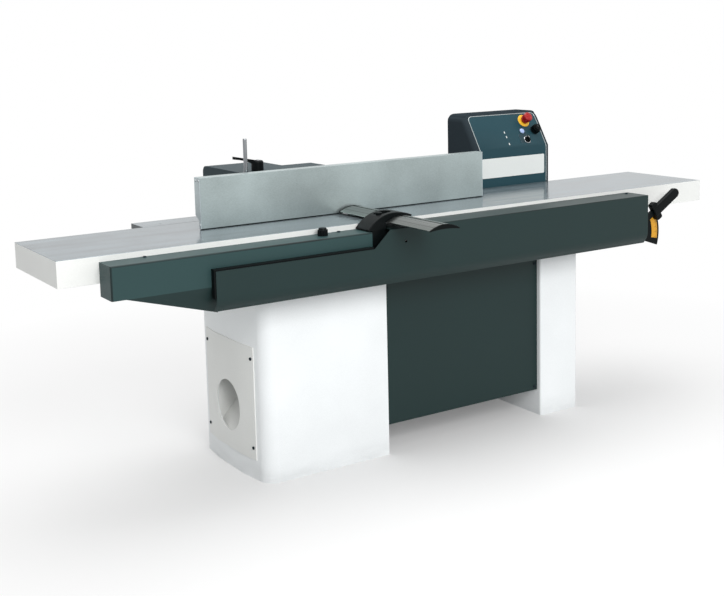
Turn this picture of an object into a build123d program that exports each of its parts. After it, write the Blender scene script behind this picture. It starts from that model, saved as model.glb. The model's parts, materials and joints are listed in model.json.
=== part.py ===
"""Surface planer with a bridge guard, a tilting fence and a sheet-steel base.

The frame stands on the floor under the middle of the machine: +X towards the infeed end,
+Y away from the operator, +Z up. Lengths are millimetres and angles degrees.
"""

from build123d import *
import os
from math import asin, cos, degrees, hypot, radians, sin, sqrt

os.makedirs("parts", exist_ok=True)

# Tables
table_length = 2750.0
table_width = 410.0
table_top = 870.0
table_front = -177.5
table_skirt = 84.0
table_plate = 24.0
table_wall = 14.0
outfeed_bays = 5
infeed_bays = 7
lip_thickness = 7.0
lip_drop = 42.0
outfeed_gap = 40.0
infeed_gap = 46.0
cut_depth = 8.0
foot_length = 60.0
foot_reach = 50.0

# Cutterhead and its bearings
head_x = -207.0
head_radius = 60.0
head_body_radius = 58.0
head_end_gap = 2.0
head_clearance = 8.0
knife_count = 4
knife_thickness = 3.0
knife_inset = 3.0
wedge_thickness = 11.0
wedge_below_rim = 3.0
slot_width = 17.0
slot_depth = 24.0
shaft_radius = 15.0
bearing_radius = 31.0
bearing_width = 16.0
seal_radius = 24.0
housing_radius = 45.0
housing_depth = 40.0
housing_half = 56.0
housing_foot = 95.0

# Belt drive and motor
pulley_gap = 12.0
pulley_width = 40.0
head_pulley_radius = 45.0
motor_pulley_radius = 75.0
pulley_rim = 3.0
belt_thickness = 6.0
belt_width = 30.0
belt_clearance = 0.3
belt_cover_gap = 4.0
motor_x = 150.0
motor_drop = 235.0
motor_radius = 98.0
motor_panel_gap = 41.5
motor_fins = 24
fin_height = 10.0
fin_thickness = 4.0
motor_flange_radius = 125.0
motor_flange = 16.0
motor_spigot = 65.0
motor_shaft_radius = 19.0
fan_cover_length = 60.0
fan_slots = 8
terminal_box = 110.0
terminal_height = 62.0
motor_plate_half = 140.0
motor_plate_below = 140.0

# Bed
bed_left = -690.0
bed_right = 945.0
bed_gap = 11.0
bed_height = 110.0
bed_wall = 12.0
bed_flange = 30.0
weld_seam = 0.2
bed_clearance = 1.5
wall_gap = 10.0
chute_bay_left = -400.0
chute_bay_right = -95.0
belt_bay_right = 100.0

# Base
base_setback = 59.0
bed_inset = 8.5
sheet = 4.0
cabinet_right = -177.0
nose_x = -691.0
nose_flat = 186.0
nose_rake = 18.0
nose_corner = 50.0
foot_plate = 8.0
foot_width = 60.0
anchor_radius = 7.0
port_radius = 90.0
port_z = 225.0
port_rim = 3.0
nose_cover_bottom = 70.0
nose_cover_height = 398.0
nose_cover_half = 182.0
cover_sheet = 3.0
leg_left = 545.0
leg_width = 190.0
leg_edge = 8.0
panel_bottom = 102.0
panel_setback = 21.0
panel_sheet = 2.0
panel_return = 12.0
louvre_rows = 9
louvre_length = 220.0
louvre_height = 8.0
louvre_pitch = 26.0

# Dust chute
chute_sheet = 2.0
chute_inlet_left = -300.0
chute_inlet_right = -112.0
chute_inlet_drop = 5.0
chute_throat_left = -372.0
chute_throat_right = -190.0
chute_throat_front = 20.0
chute_throat_back = 145.0
chute_mouth_low = 92.0
chute_mouth_high = 92.0
chute_mouth_half = 90.0

# Front covers
cover_gap = 2.0
outfeed_cover_left = -1245.0
outfeed_cover_right = -329.0
outfeed_cover_drop = 19.0
outfeed_cover_depth = 92.0
outfeed_cover_face = 105.0
outfeed_strip = 49.0
outfeed_tuck = 22.0
outfeed_tuck_depth = 12.0
outfeed_step = -880.0
outfeed_flap = 111.0
outfeed_flap_start = 45.0
flap_angle = 30.0
outfeed_hang = 40.0
main_cover_left = -917.0
main_cover_right = 950.0
main_cover_drop = 12.0
main_cover_depth = 113.0
main_cover_face = 146.0
main_cover_low = 61.0
main_slope_left = -334.0
main_slope_right = -268.0
main_bend_radius = 50.0
main_bend_angle = 38.0
main_flap = 18.0
main_end_return = 8.0
front_sheet = 2.0
access_hole_radius = 5.0
bracket_width = 60.0
bracket_height = 46.0
bracket_above_bend = 5.0

# Screws that hold the covers and panels
screw_head_radius = 5.5
screw_head_height = 3.3
screw_radius = 2.9
screw_hole_radius = 3.1
screw_length = 8.0
screw_margin = 14.0

# Infeed lifting gear
lift_near_x = 40.0
lift_far_x = 881.0
lift_drop = 75.0
lift_swing = 60.0
lift_shaft_radius = 17.0
eccentric_radius = 27.0
lift_clearance = 0.3
running_clearance = 0.05
lug_thickness = 18.0
lug_radius = 38.0
lug_front_inset = 110.0
lug_back_inset = 110.0
crank_reach = 40.0
crank_thickness = 12.0
crank_radius = 22.0
crank_pin_radius = 8.0
crank_y_share = 12.0
link_half = 14.0
boss_radius = 32.0
boss_depth = 14.0

# Depth lever and its scale
lever_angle = 31.2
lever_front = 85.0
lever_bar = 12.0
lever_width = 34.0
lever_length = 190.0
grip_start = 150.0
grip_end = 304.0
grip_width = 38.0
grip_thickness = 24.0
grip_collar = 29.0
grip_collar_width = 74.0
grip_collar_thickness = 20.0
quadrant_radius = 177.0
quadrant_high_angle = 30.0
quadrant_low_angle = -18.5
quadrant_sheet = 6.0
quadrant_gap = 4.0
scale_inner = 136.0
scale_outer = 167.0
scale_high_angle = 23.0
scale_low_angle = -9.5
scale_sheet = 1.5

# Fence and its carriage
fence_left = -805.0
fence_length = 1200.0
fence_face = 46.5
fence_height = 172.0
fence_lift = 3.0
fence_thickness = 41.5
fence_lower_plate = 14.0
fence_step = 28.0
fence_taper = 15.0
fence_wall = 4.5
fence_cap = 3.0
pin_radius = 6.0
pin_back = 27.5
pin_height = 18.0
ear_radius = 12.0
bracket_thick = 16.0
bracket_gap = 2.0
bracket_deep = 24.0
bracket_top = 130.0
saddle_middle = -440.0
saddle_half = 82.0
saddle_length = 180.0
saddle_bottom = 6.0
saddle_nose = 4.0
saddle_slope_gap = 8.0
fence_travel = 150.0
rail_half = 30.0
rail_web_half = 15.0
rail_height = 20.0
rail_head = 11.0
rail_length = 264.0
rail_clearance = 0.3
plate_left = -935.0
plate_right = -268.0
plate_depth = 108.0
plate_thickness = 20.0
plate_foot = 60.0
plate_rib = 16.0
plate_hole_x = -859.0
plate_hole_inset = 29.5
rod_x = -602.0
rod_radius = 7.0
rod_above_fence = 115.0
rod_sunk = 80.0
holder_half = 15.0
holder_depth = 31.0
holder_height = 45.0
hood_left = -572.0
hood_width = 227.0
hood_step = 125.0
hood_step_length = 128.0
hood_front_inset = 25.0
hood_length = 310.0
hood_height = 160.0
hood_sheet = 2.0
hood_edge = 24.0
hood_skirt_gap = 8.0
lock_x = -493.0
lock_inset = 17.0
lock_hub_radius = 22.0
lock_hub_height = 37.0
lock_stud_radius = 6.0
lock_stud_length = 40.0
lock_reach = 96.0
lock_rise = 15.0
lock_width = 20.0
lock_root = 20.0
lock_tip = 10.0
lock_gap = 0.3

# Bridge guard
blade_middle = -211.0
blade_half = 58.0
blade_rise = 10.0
blade_crown = 16.0
blade_thickness = 3.5
blade_back = 31.0
blade_length = 543.0
blade_cap = 5.5
blade_cap_lip = 1.0
key_neck_half = 4.0
key_head_half = 8.0
key_head = 4.0
key_drop = 6.5
key_clearance = 0.4
key_margin = 11.0
channel_wall = 4.5
arm_front = -265.0
arm_depth = 82.0
arm_gap = 0.6
arm_lip_x = -340.0
arm_crest_x = -240.0
arm_crest = 38.0
arm_brow_x = -302.0
arm_brow = 20.6
arm_edge = 3.0
arm_tip_x = -163.0
arm_tip = 24.0
stem_left = -325.0
stem_width = 54.0
stem_bottom = 680.0
stem_inset = 3.0
lip_drop_below = 4.5
lip_above_cover = 4.0
guide_wall = 7.0
guide_clearance = 0.3
guide_height = 80.0
recess_x = -262.0
recess_length = 70.0
recess_width = 44.0
recess_depth = 9.0
guard_knob_x = -272.0
guard_knob_radius = 10.5
guard_knob_height = 9.0
guard_knob_grips = 8
cover_knob_x = -490.0
cover_knob_y = -216.0
cover_knob_radius = 17.5
cover_knob_height = 26.0
cover_knob_grips = 12
knob_stud_radius = 5.0
knob_stud_length = 20.0
knob_gap = 0.3
guard_stud_length = 10.0

# Control box
box_left = 514.0
box_width = 402.0
box_gap = 6.0
box_depth = 200.0
box_fold = 155.0
box_top = 298.0
box_lean = 89.0
box_side_edge = 20.0
box_back_edge = 16.0
front_margin = 23.0
front_plate = 2.5
front_corner = 20.0
bare_plate_width = 335.0
bare_plate_height = 81.0
bare_plate_above_table = 37.0
bare_plate_sheet = 1.0
bare_plate_inset = 10.0
stop_x = 822.0
stop_up = 120.0
stop_collar_radius = 28.0
stop_collar_height = 4.0
stop_stem_radius = 11.0
stop_head_radius = 20.0
stop_head = 22.0
stop_stand = 22.0
push_x = 793.0
push_up = 73.0
push_radius = 12.0
push_stand = 6.0
selector_x = 862.0
selector_up = 73.0
selector_radius = 19.0
selector_height = 30.0
selector_grips = 14
rotary_x = 803.0
rotary_up = 31.0
rotary_radius = 13.0
rotary_height = 16.0
rotary_plate_width = 52.0
rotary_plate_height = 42.0
rotary_plate_shift = 12.0
rotary_plate_lift = 6.5
rotary_plate = 1.2
control_shaft_radius = 8.0
control_shaft_depth = 22.0
control_clearance = 0.3

# Levels and lines that the pieces share
table_back = table_front + table_width
table_middle = (table_front + table_back) / 2
table_end = table_length / 2
skirt_bottom = table_top - table_skirt
plate_bottom = table_top - table_plate
head_z = table_top - head_radius
bed_top = skirt_bottom - bed_gap
bed_bottom = bed_top - bed_height
bed_front = table_front - bed_clearance / 3
web_front = table_back + bed_clearance
web_back = web_front + bed_wall
pulley_front = web_back + housing_depth + pulley_gap
pulley_middle = pulley_front + pulley_width / 2
bed_back = pulley_front + pulley_width + wall_gap + bed_wall
base_front = table_front + base_setback
base_back = bed_back + bed_inset
base_middle = (base_front + base_back) / 2
base_height = bed_bottom
leg_right = leg_left + leg_width
panel_face = base_front + panel_setback
motor_z = bed_bottom - motor_drop
main_top = table_top - main_cover_drop
main_face = table_front - main_cover_depth
outfeed_cover_top = table_top - outfeed_cover_drop
outfeed_face = table_front - outfeed_cover_depth
lift_z = bed_top - lift_drop
lift_radius = cut_depth / (2 * sin(radians(lift_swing / 2)))
lever_back = table_front - lever_front + lever_bar
lug_ys = (table_front + lug_front_inset, table_back - lug_back_inset)
crank_back = table_middle + crank_y_share
pin_y = fence_face + pin_back
pin_z = table_top + pin_height
fence_bottom = table_top + fence_lift
fence_top = fence_bottom + fence_height
fence_back = fence_face + fence_thickness
saddle_back = table_back + saddle_length
rail_top = table_top + rail_height
hood_front = table_back - hood_front_inset
hood_top = table_top + hood_height
lock_y = hood_front + lock_inset
blade_z = table_top + blade_rise
blade_radius = (blade_half**2 + blade_crown**2) / (2 * blade_crown)
blade_centre = blade_z + blade_crown - blade_radius
blade_front = blade_back - blade_length
blade_crest = blade_z + blade_crown
arm_back = arm_front + arm_depth
arm_middle = arm_front + arm_depth / 2
stem_right = stem_left + stem_width
box_front = table_back + box_gap
box_right = box_left + box_width


def facing(y):
    """A plane at y whose sketches read X and Z and extrude towards the operator."""
    return Plane.XZ.offset(-y)


def across(x):
    """A plane at x whose sketches read Y and Z and extrude towards +X."""
    return Plane.YZ.offset(x)


def slab(x, y, z, mode=Mode.ADD):
    """A block between two limits on each axis, joined to or cut from the piece being built."""
    with Locations(((x[0] + x[1]) / 2, (y[0] + y[1]) / 2, (z[0] + z[1]) / 2)):
        Box(x[1] - x[0], y[1] - y[0], z[1] - z[0], mode=mode)


def round_bar(x, z, radius, y, mode=Mode.ADD):
    """A round bar along Y between two limits, joined to or cut from the piece being built."""
    with BuildSketch(facing(y[1])) as disc:
        with Locations((x, z)):
            Circle(radius)
    extrude(disc.sketch, amount=y[1] - y[0], mode=mode)


def post(x, y, z, radius, mode=Mode.ADD):
    """An upright round bar between two heights, joined to or cut from the piece being built."""
    with BuildSketch(Plane.XY.offset(z[0])) as disc:
        with Locations((x, y)):
            Circle(radius)
    extrude(disc.sketch, amount=z[1] - z[0], mode=mode)


def table_casting(lip_x, end_x, bays):
    """A ribbed table whose end towards the cutterhead is drawn out to a thin lip."""
    out = 1 if end_x > lip_x else -1
    wall_x = head_x + out * (head_radius + head_clearance)
    bay = (abs(end_x - wall_x) - table_wall) / bays
    row = (table_width - table_wall) / 2
    with BuildPart() as casting:
        with BuildSketch(facing(table_back)):
            with BuildLine():
                Polyline(
                    (lip_x, table_top),
                    (end_x, table_top),
                    (end_x, skirt_bottom),
                    (wall_x, skirt_bottom),
                    (wall_x, table_top - lip_drop),
                    (lip_x, table_top - lip_thickness),
                    close=True,
                )
            make_face()
        extrude(amount=table_width)
        with BuildSketch(Plane.XY.offset(skirt_bottom)):
            with Locations(((wall_x + end_x) / 2, table_middle)):
                with GridLocations(bay, row, bays, 2):
                    Rectangle(bay - table_wall, row - table_wall)
        extrude(amount=table_skirt - table_plate, mode=Mode.SUBTRACT)
    return casting


# Outfeed table, standing on the bed by four feet
with BuildPart() as outfeed_table:
    add(table_casting(head_x - outfeed_gap, -table_end, outfeed_bays).part)
    for foot_left in (bed_left, chute_bay_left - foot_length):
        foot_x = (foot_left, foot_left + foot_length)
        slab(foot_x, (table_front, table_front + foot_reach), (bed_top, plate_bottom))
        slab(foot_x, (table_back - foot_reach, table_back), (bed_top, plate_bottom))
outfeed_table.part.label = "outfeed_table"
export_step(outfeed_table.part, "parts/outfeed_table.step")

# Infeed table, hung on the eccentrics by four slotted lugs
eccentric_x = lift_radius * cos(radians(lift_swing / 2))
eccentric_z = lift_radius * sin(radians(lift_swing / 2))
slot_play = lift_radius - eccentric_x
with BuildPart() as infeed_table:
    add(table_casting(head_x + infeed_gap, table_end, infeed_bays).part)
    for lug_y in lug_ys:
        with BuildSketch(facing(lug_y + lug_thickness / 2)):
            for shaft_x in (lift_near_x, lift_far_x):
                eye = (shaft_x + eccentric_x, lift_z + eccentric_z)
                with BuildLine():
                    Polyline(
                        (eye[0] - lug_radius, eye[1]),
                        (eye[0] + lug_radius, eye[1]),
                        (eye[0] + lug_radius, plate_bottom),
                        (eye[0] - lug_radius, plate_bottom),
                        close=True,
                    )
                make_face()
                with Locations(eye):
                    Circle(lug_radius)
                with Locations((eye[0] + slot_play / 2, eye[1])):
                    SlotCenterToCenter(
                        slot_play + lift_clearance,
                        2 * (eccentric_radius + lift_clearance),
                        mode=Mode.SUBTRACT,
                    )
        extrude(amount=lug_thickness)
infeed_table.part.label = "infeed_table"
export_step(infeed_table.part, "parts/infeed_table.step")


# Cutterhead: a body slotted for knives, with journals at both ends
head_front = table_front + head_end_gap
head_back = table_back - head_end_gap
shaft_front = bed_front - housing_depth
shaft_back = pulley_front + pulley_width


def head_pattern(depth_low, depth_high, start, width):
    """Rectangles round the head between two radii, each starting a distance across its slot."""
    for turn in range(knife_count):
        with Locations(Location((head_x, head_z), 360.0 / knife_count * turn)):
            with Locations(((depth_low + depth_high) / 2, start + width / 2)):
                Rectangle(depth_high - depth_low, width)


slot_floor = head_body_radius - slot_depth
slot_start = -slot_width / 2
with BuildPart() as cutterhead:
    round_bar(head_x, head_z, shaft_radius, (shaft_front, shaft_back))
    round_bar(head_x, head_z, head_body_radius, (head_front, head_back))
    with BuildSketch(facing(head_back)):
        head_pattern(slot_floor, head_radius + head_clearance, slot_start, slot_width)
    extrude(amount=head_back - head_front, mode=Mode.SUBTRACT)
cutterhead.part.label = "cutterhead"
export_step(cutterhead.part, "parts/cutterhead.step")

with BuildPart() as knives:
    with BuildSketch(facing(head_back)):
        head_pattern(slot_floor + knife_inset, head_radius, slot_start, knife_thickness)
    extrude(amount=head_back - head_front)
knives.part.label = "knives"
export_step(knives.part, "parts/knives.step")

with BuildPart() as knife_wedges:
    with BuildSketch(facing(head_back)):
        wedge_top = head_body_radius - wedge_below_rim
        head_pattern(slot_floor, wedge_top, slot_start + knife_thickness, wedge_thickness)
    extrude(amount=head_back - head_front)
knife_wedges.part.label = "knife_wedges"
export_step(knife_wedges.part, "parts/knife_wedges.step")


def bearing_housing(seat, out):
    """A bearing block bolted to the bed wall at y = seat, reaching out towards -Y or +Y."""
    end = seat + out * housing_depth
    low, high = min(seat, end), max(seat, end)
    pocket = end - out * bearing_width
    with BuildPart() as block:
        with BuildSketch(facing(high)):
            with BuildLine():
                Polyline(
                    (head_x - housing_half, head_z - housing_foot),
                    (head_x + housing_half, head_z - housing_foot),
                    (head_x + housing_half, head_z - housing_radius),
                    (head_x + housing_radius, head_z),
                    (head_x - housing_radius, head_z),
                    (head_x - housing_half, head_z - housing_radius),
                    close=True,
                )
            make_face()
            with Locations((head_x, head_z)):
                Circle(housing_radius)
                Circle(seal_radius, mode=Mode.SUBTRACT)
        extrude(amount=high - low)
        round_bar(head_x, head_z, bearing_radius, (min(pocket, end), max(pocket, end)), Mode.SUBTRACT)
    return block


with BuildPart() as bearing_housings:
    add(bearing_housing(bed_front, -1).part)
    add(bearing_housing(web_back, 1).part)
bearing_housings.part.label = "bearing_housings"
export_step(bearing_housings.part, "parts/bearing_housings.step")

rear_bearing_end = web_back + housing_depth
with BuildPart() as head_bearings:
    for bearing in (
        (shaft_front, shaft_front + bearing_width),
        (rear_bearing_end - bearing_width, rear_bearing_end),
    ):
        round_bar(head_x, head_z, bearing_radius, bearing)
        round_bar(head_x, head_z, shaft_radius + running_clearance, bearing, Mode.SUBTRACT)
head_bearings.part.label = "head_bearings"
export_step(head_bearings.part, "parts/head_bearings.step")


def belt_pulley(x, z, radius, bore):
    """A belt pulley with a raised rim on each side of the belt."""
    rim = radius + belt_thickness
    with BuildPart() as pulley:
        round_bar(x, z, radius, (pulley_front, pulley_front + pulley_width))
        for edge in (pulley_front, pulley_front + pulley_width - pulley_rim):
            round_bar(x, z, rim, (edge, edge + pulley_rim))
        round_bar(x, z, bore, (pulley_front, pulley_front + pulley_width), Mode.SUBTRACT)
    return pulley


head_pulley = belt_pulley(head_x, head_z, head_pulley_radius, shaft_radius)
head_pulley.part.label = "head_pulley"
export_step(head_pulley.part, "parts/head_pulley.step")

motor_pulley = belt_pulley(motor_x, motor_z, motor_pulley_radius, motor_shaft_radius)
motor_pulley.part.label = "motor_pulley"
export_step(motor_pulley.part, "parts/motor_pulley.step")

with BuildPart() as drive_belt:
    for reach, mode in ((belt_clearance + belt_thickness, Mode.ADD), (belt_clearance, Mode.SUBTRACT)):
        with BuildSketch(facing(pulley_middle + belt_width / 2)):
            with Locations((head_x, head_z)):
                Circle(head_pulley_radius + reach)
            with Locations((motor_x, motor_z)):
                Circle(motor_pulley_radius + reach)
            make_hull()
        extrude(amount=belt_width, mode=mode)
drive_belt.part.label = "drive_belt"
export_step(drive_belt.part, "parts/drive_belt.step")


def belt_cover_form(inset):
    """The form over the belt above the bed, with its walls moved inwards by an inset."""
    reach = belt_thickness + belt_cover_gap + cover_sheet - inset
    front = web_back + housing_depth + cover_gap + inset
    with BuildPart() as form:
        with BuildSketch(facing(bed_back - inset)):
            with Locations((head_x, head_z)):
                Circle(head_pulley_radius + reach)
            with Locations((motor_x, motor_z)):
                Circle(motor_pulley_radius + reach)
            make_hull()
            with Locations((head_x, bed_top + table_skirt)):
                Rectangle(table_length, 2 * table_skirt, mode=Mode.INTERSECT)
        extrude(amount=bed_back - inset - front)
    return form.part


with BuildPart() as belt_cover:
    add(belt_cover_form(0))
    add(belt_cover_form(cover_sheet), mode=Mode.SUBTRACT)
    round_bar(head_x, head_z, seal_radius, (web_back, pulley_middle), Mode.SUBTRACT)
belt_cover.part.label = "belt_cover"
export_step(belt_cover.part, "parts/belt_cover.step")

# Motor, flanged to a plate that hangs from the bed's middle wall
motor_back = web_front
motor_front = panel_face + motor_panel_gap + fan_cover_length
with BuildPart() as motor_plate:
    with BuildSketch(facing(web_back)):
        with BuildLine():
            Polyline(
                (motor_x - motor_plate_half, bed_bottom),
                (motor_x + motor_plate_half, bed_bottom),
                (motor_x + motor_plate_half, motor_z - motor_plate_below),
                (motor_x - motor_plate_half, motor_z - motor_plate_below),
                close=True,
            )
        make_face()
        with Locations((motor_x, motor_z)):
            Circle(motor_spigot, mode=Mode.SUBTRACT)
    extrude(amount=bed_wall)
motor_plate.part.label = "motor_plate"
export_step(motor_plate.part, "parts/motor_plate.step")

with BuildPart() as motor_body:
    round_bar(motor_x, motor_z, motor_radius, (motor_front, motor_back))
    with BuildSketch(facing(motor_back)):
        for turn in range(motor_fins):
            with Locations(Location((motor_x, motor_z), 360.0 / motor_fins * turn)):
                with Locations((motor_radius, 0)):
                    Rectangle(2 * fin_height, fin_thickness)
    extrude(amount=motor_back - motor_front)
    round_bar(motor_x, motor_z, motor_flange_radius, (motor_back - motor_flange, motor_back))
    round_bar(
        motor_x,
        motor_z,
        motor_shaft_radius + running_clearance,
        (motor_front, motor_back),
        Mode.SUBTRACT,
    )
motor_body.part.label = "motor_body"
export_step(motor_body.part, "parts/motor_body.step")

with BuildPart() as motor_fan_cover:
    round_bar(motor_x, motor_z, motor_radius + fin_height, (motor_front - fan_cover_length, motor_front))
    front_rim = motor_fan_cover.edges().filter_by(GeomType.CIRCLE).sort_by(Axis.Y)[0]
    fillet(front_rim, motor_radius / 5)
    with BuildSketch(facing(motor_front)):
        with Locations((motor_x, motor_z)):
            Circle(motor_radius + fin_height - panel_sheet)
    extrude(amount=fan_cover_length - panel_sheet - motor_radius / 5, mode=Mode.SUBTRACT)
    with BuildSketch(facing(motor_front)):
        for turn in range(fan_slots):
            with Locations(Location((motor_x, motor_z), 360.0 / fan_slots * turn)):
                with Locations((motor_radius / 2, 0)):
                    SlotOverall(motor_radius / 2, fin_height)
    extrude(amount=fan_cover_length, mode=Mode.SUBTRACT)
motor_fan_cover.part.label = "motor_fan_cover"
export_step(motor_fan_cover.part, "parts/motor_fan_cover.step")

terminal_floor = motor_z + motor_radius + fin_height
terminal_middle = (motor_front + motor_back) / 2
with BuildPart() as motor_terminal_box:
    slab(
        (motor_x - terminal_box / 2, motor_x + terminal_box / 2),
        (terminal_middle - terminal_box / 2, terminal_middle + terminal_box / 2),
        (terminal_floor, terminal_floor + terminal_height),
    )
    fillet(motor_terminal_box.edges().filter_by(Axis.Z), fin_height)
motor_terminal_box.part.label = "motor_terminal_box"
export_step(motor_terminal_box.part, "parts/motor_terminal_box.step")

with BuildPart() as motor_shaft:
    round_bar(motor_x, motor_z, motor_shaft_radius, (motor_front, pulley_front + pulley_width))
motor_shaft.part.label = "motor_shaft"
export_step(motor_shaft.part, "parts/motor_shaft.step")

# Bed: plates and flanged rails welded into an open box, with bays for the chute and the belt
front_ribs = (bed_left, chute_bay_left, chute_bay_right, bed_right - bed_wall)
rear_ribs = (bed_left, chute_bay_left, belt_bay_right, bed_right - bed_wall)
front_inner = bed_front + bed_wall
rear_inner = bed_back - bed_wall
with BuildPart() as bed_frame:
    for wall_y in ((bed_front, front_inner), (web_front, web_back), (rear_inner, bed_back)):
        slab((bed_left, bed_right), wall_y, (bed_bottom, bed_top))
    for ribs, low, high in ((front_ribs, front_inner, web_front), (rear_ribs, web_back, rear_inner)):
        for rib in ribs:
            slab((rib, rib + bed_wall), (low + weld_seam, high - weld_seam), (bed_bottom, bed_top))
    for left, right in (front_ribs[:2], front_ribs[2:]):
        bay = (left + bed_wall + weld_seam, right - weld_seam)
        for level in (bed_bottom, bed_top - bed_wall):
            slab(bay, (front_inner, front_inner + bed_flange), (level, level + bed_wall))
            slab(bay, (web_front - bed_flange, web_front), (level, level + bed_wall))
    for left, right in (rear_ribs[:2], rear_ribs[2:]):
        bay = (left + bed_wall + weld_seam, right - weld_seam)
        slab(bay, (web_back + weld_seam, rear_inner - weld_seam), (bed_top - bed_wall, bed_top))
    round_bar(head_x, head_z, head_radius + head_clearance / 2, (bed_front, web_back), Mode.SUBTRACT)
    for shaft_x in (lift_near_x, lift_far_x):
        round_bar(shaft_x, lift_z, boss_radius, (bed_front, bed_front + bed_wall + boss_depth))
        round_bar(shaft_x, lift_z, boss_radius, (web_front - boss_depth, web_back))
        round_bar(
            shaft_x,
            lift_z,
            lift_shaft_radius + running_clearance,
            (bed_front, web_back),
            Mode.SUBTRACT,
        )
bed_frame.part.label = "bed_frame"
export_step(bed_frame.part, "parts/bed_frame.step")


# Lifting gear: two eccentric shafts, turned together by a link, and the lever on the far one
def crank_pin(shaft_x):
    """Centre of a crank pin at rest, halfway through its swing when it stands upright."""
    lean = radians(lift_swing / 2)
    return (shaft_x - crank_reach * sin(lean), lift_z + crank_reach * cos(lean))


def eccentric_shaft(shaft_x, front):
    """A cross shaft with two eccentrics and a crank whose pin carries the link."""
    pin = crank_pin(shaft_x)
    with BuildPart() as shaft:
        round_bar(shaft_x, lift_z, lift_shaft_radius, (front, web_back))
        for lug_y in lug_ys:
            wide = lug_thickness / 2 + lift_clearance
            round_bar(
                shaft_x + eccentric_x,
                lift_z + eccentric_z,
                eccentric_radius,
                (lug_y - wide, lug_y + wide),
            )
        with BuildSketch(facing(crank_back)):
            with Locations((shaft_x, lift_z)):
                Circle(crank_radius + crank_pin_radius / 2)
            with Locations(pin):
                Circle(crank_pin_radius * 2)
            make_hull()
        extrude(amount=crank_thickness)
        pin_front = crank_back - 2 * crank_thickness - lift_clearance
        round_bar(*pin, crank_pin_radius, (pin_front, crank_back))
    return shaft


near_eccentric_shaft = eccentric_shaft(lift_near_x, bed_front)
near_eccentric_shaft.part.label = "near_eccentric_shaft"
export_step(near_eccentric_shaft.part, "parts/near_eccentric_shaft.step")

far_eccentric_shaft = eccentric_shaft(lift_far_x, lever_back - lever_bar)
far_eccentric_shaft.part.label = "far_eccentric_shaft"
export_step(far_eccentric_shaft.part, "parts/far_eccentric_shaft.step")

with BuildPart() as lift_link:
    link_back = crank_back - crank_thickness - lift_clearance
    with BuildSketch(facing(link_back)):
        near_pin, far_pin = crank_pin(lift_near_x), crank_pin(lift_far_x)
        with Locations(((near_pin[0] + far_pin[0]) / 2, near_pin[1])):
            SlotCenterToCenter(far_pin[0] - near_pin[0], 2 * link_half)
        with Locations(near_pin, far_pin):
            Circle(crank_pin_radius + lift_clearance, mode=Mode.SUBTRACT)
    extrude(amount=crank_thickness)
lift_link.part.label = "lift_link"
export_step(lift_link.part, "parts/lift_link.step")

lever_plane = Plane(
    origin=(lift_far_x, lever_back, lift_z),
    x_dir=(cos(radians(lever_angle)), 0, sin(radians(lever_angle))),
    z_dir=(0, -1, 0),
)
with BuildPart() as depth_lever:
    with BuildSketch(lever_plane):
        with BuildLine():
            Polyline(
                (0, lever_width / 2),
                (grip_start, lever_width / 3),
                (lever_length, lever_width / 3),
                (lever_length, -lever_width / 3),
                (grip_start, -lever_width / 3),
                (0, -lever_width / 2),
                close=True,
            )
        make_face()
        Circle(lever_width / 2 + lift_shaft_radius / 2)
        Circle(lift_shaft_radius, mode=Mode.SUBTRACT)
    extrude(amount=lever_bar)
depth_lever.part.label = "depth_lever"
export_step(depth_lever.part, "parts/depth_lever.step")

with BuildPart() as lever_grip:
    with BuildSketch(lever_plane):
        with Locations(((grip_start + grip_end) / 2, 0)):
            SlotOverall(grip_end - grip_start, grip_width)
        with Locations((grip_start + grip_width / 4, 0)):
            Rectangle(grip_width / 2, grip_width)
    extrude(amount=grip_thickness)
    fillet(lever_grip.edges().filter_by(Axis.Y, reverse=True), grip_thickness / 4)
    with BuildSketch(lever_plane):
        with Locations((grip_start + grip_collar / 2, 0)):
            RectangleRounded(grip_collar, grip_collar_width, grip_collar / 4)
    extrude(amount=grip_collar_thickness)
    with BuildSketch(lever_plane):
        Rectangle(2 * lever_length, 2 * lever_width / 3)
    extrude(amount=lever_bar, mode=Mode.SUBTRACT)
lever_grip.part.label = "lever_grip"
export_step(lever_grip.part, "parts/lever_grip.step")


def sector(centre, inner, outer, low, high):
    """A ring sector about a centre, between two radii and two angles."""
    with BuildLine() as edge:
        rim = CenterArc(centre, outer, low, high - low)
        root = CenterArc(centre, inner, low, high - low)
        Line(rim @ 0, root @ 0)
        Line(rim @ 1, root @ 1)
    make_face(edge.edges())


quadrant_back = lever_back + quadrant_gap + quadrant_sheet
quadrant_plane = Plane(origin=(lift_far_x, quadrant_back, lift_z), x_dir=(1, 0, 0), z_dir=(0, -1, 0))
quadrant_hub = boss_radius
with BuildPart() as scale_quadrant:
    with BuildSketch(quadrant_plane):
        sector((0, 0), quadrant_hub / 2, quadrant_radius, quadrant_low_angle, quadrant_high_angle)
        Circle(quadrant_hub)
        Circle(lift_shaft_radius + lift_clearance, mode=Mode.SUBTRACT)
    extrude(amount=quadrant_sheet)
    with BuildSketch(facing(bed_front)):
        with Locations((lift_far_x, lift_z)):
            Circle(quadrant_hub)
            Circle(lift_shaft_radius + lift_clearance, mode=Mode.SUBTRACT)
    extrude(amount=bed_front - quadrant_back)
scale_quadrant.part.label = "scale_quadrant"
export_step(scale_quadrant.part, "parts/scale_quadrant.step")

with BuildPart() as depth_scale:
    with BuildSketch(quadrant_plane.offset(quadrant_sheet)):
        sector((0, 0), scale_inner, scale_outer, scale_low_angle, scale_high_angle)
    extrude(amount=scale_sheet)
depth_scale.part.label = "depth_scale"
export_step(depth_scale.part, "parts/depth_scale.step")


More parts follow.
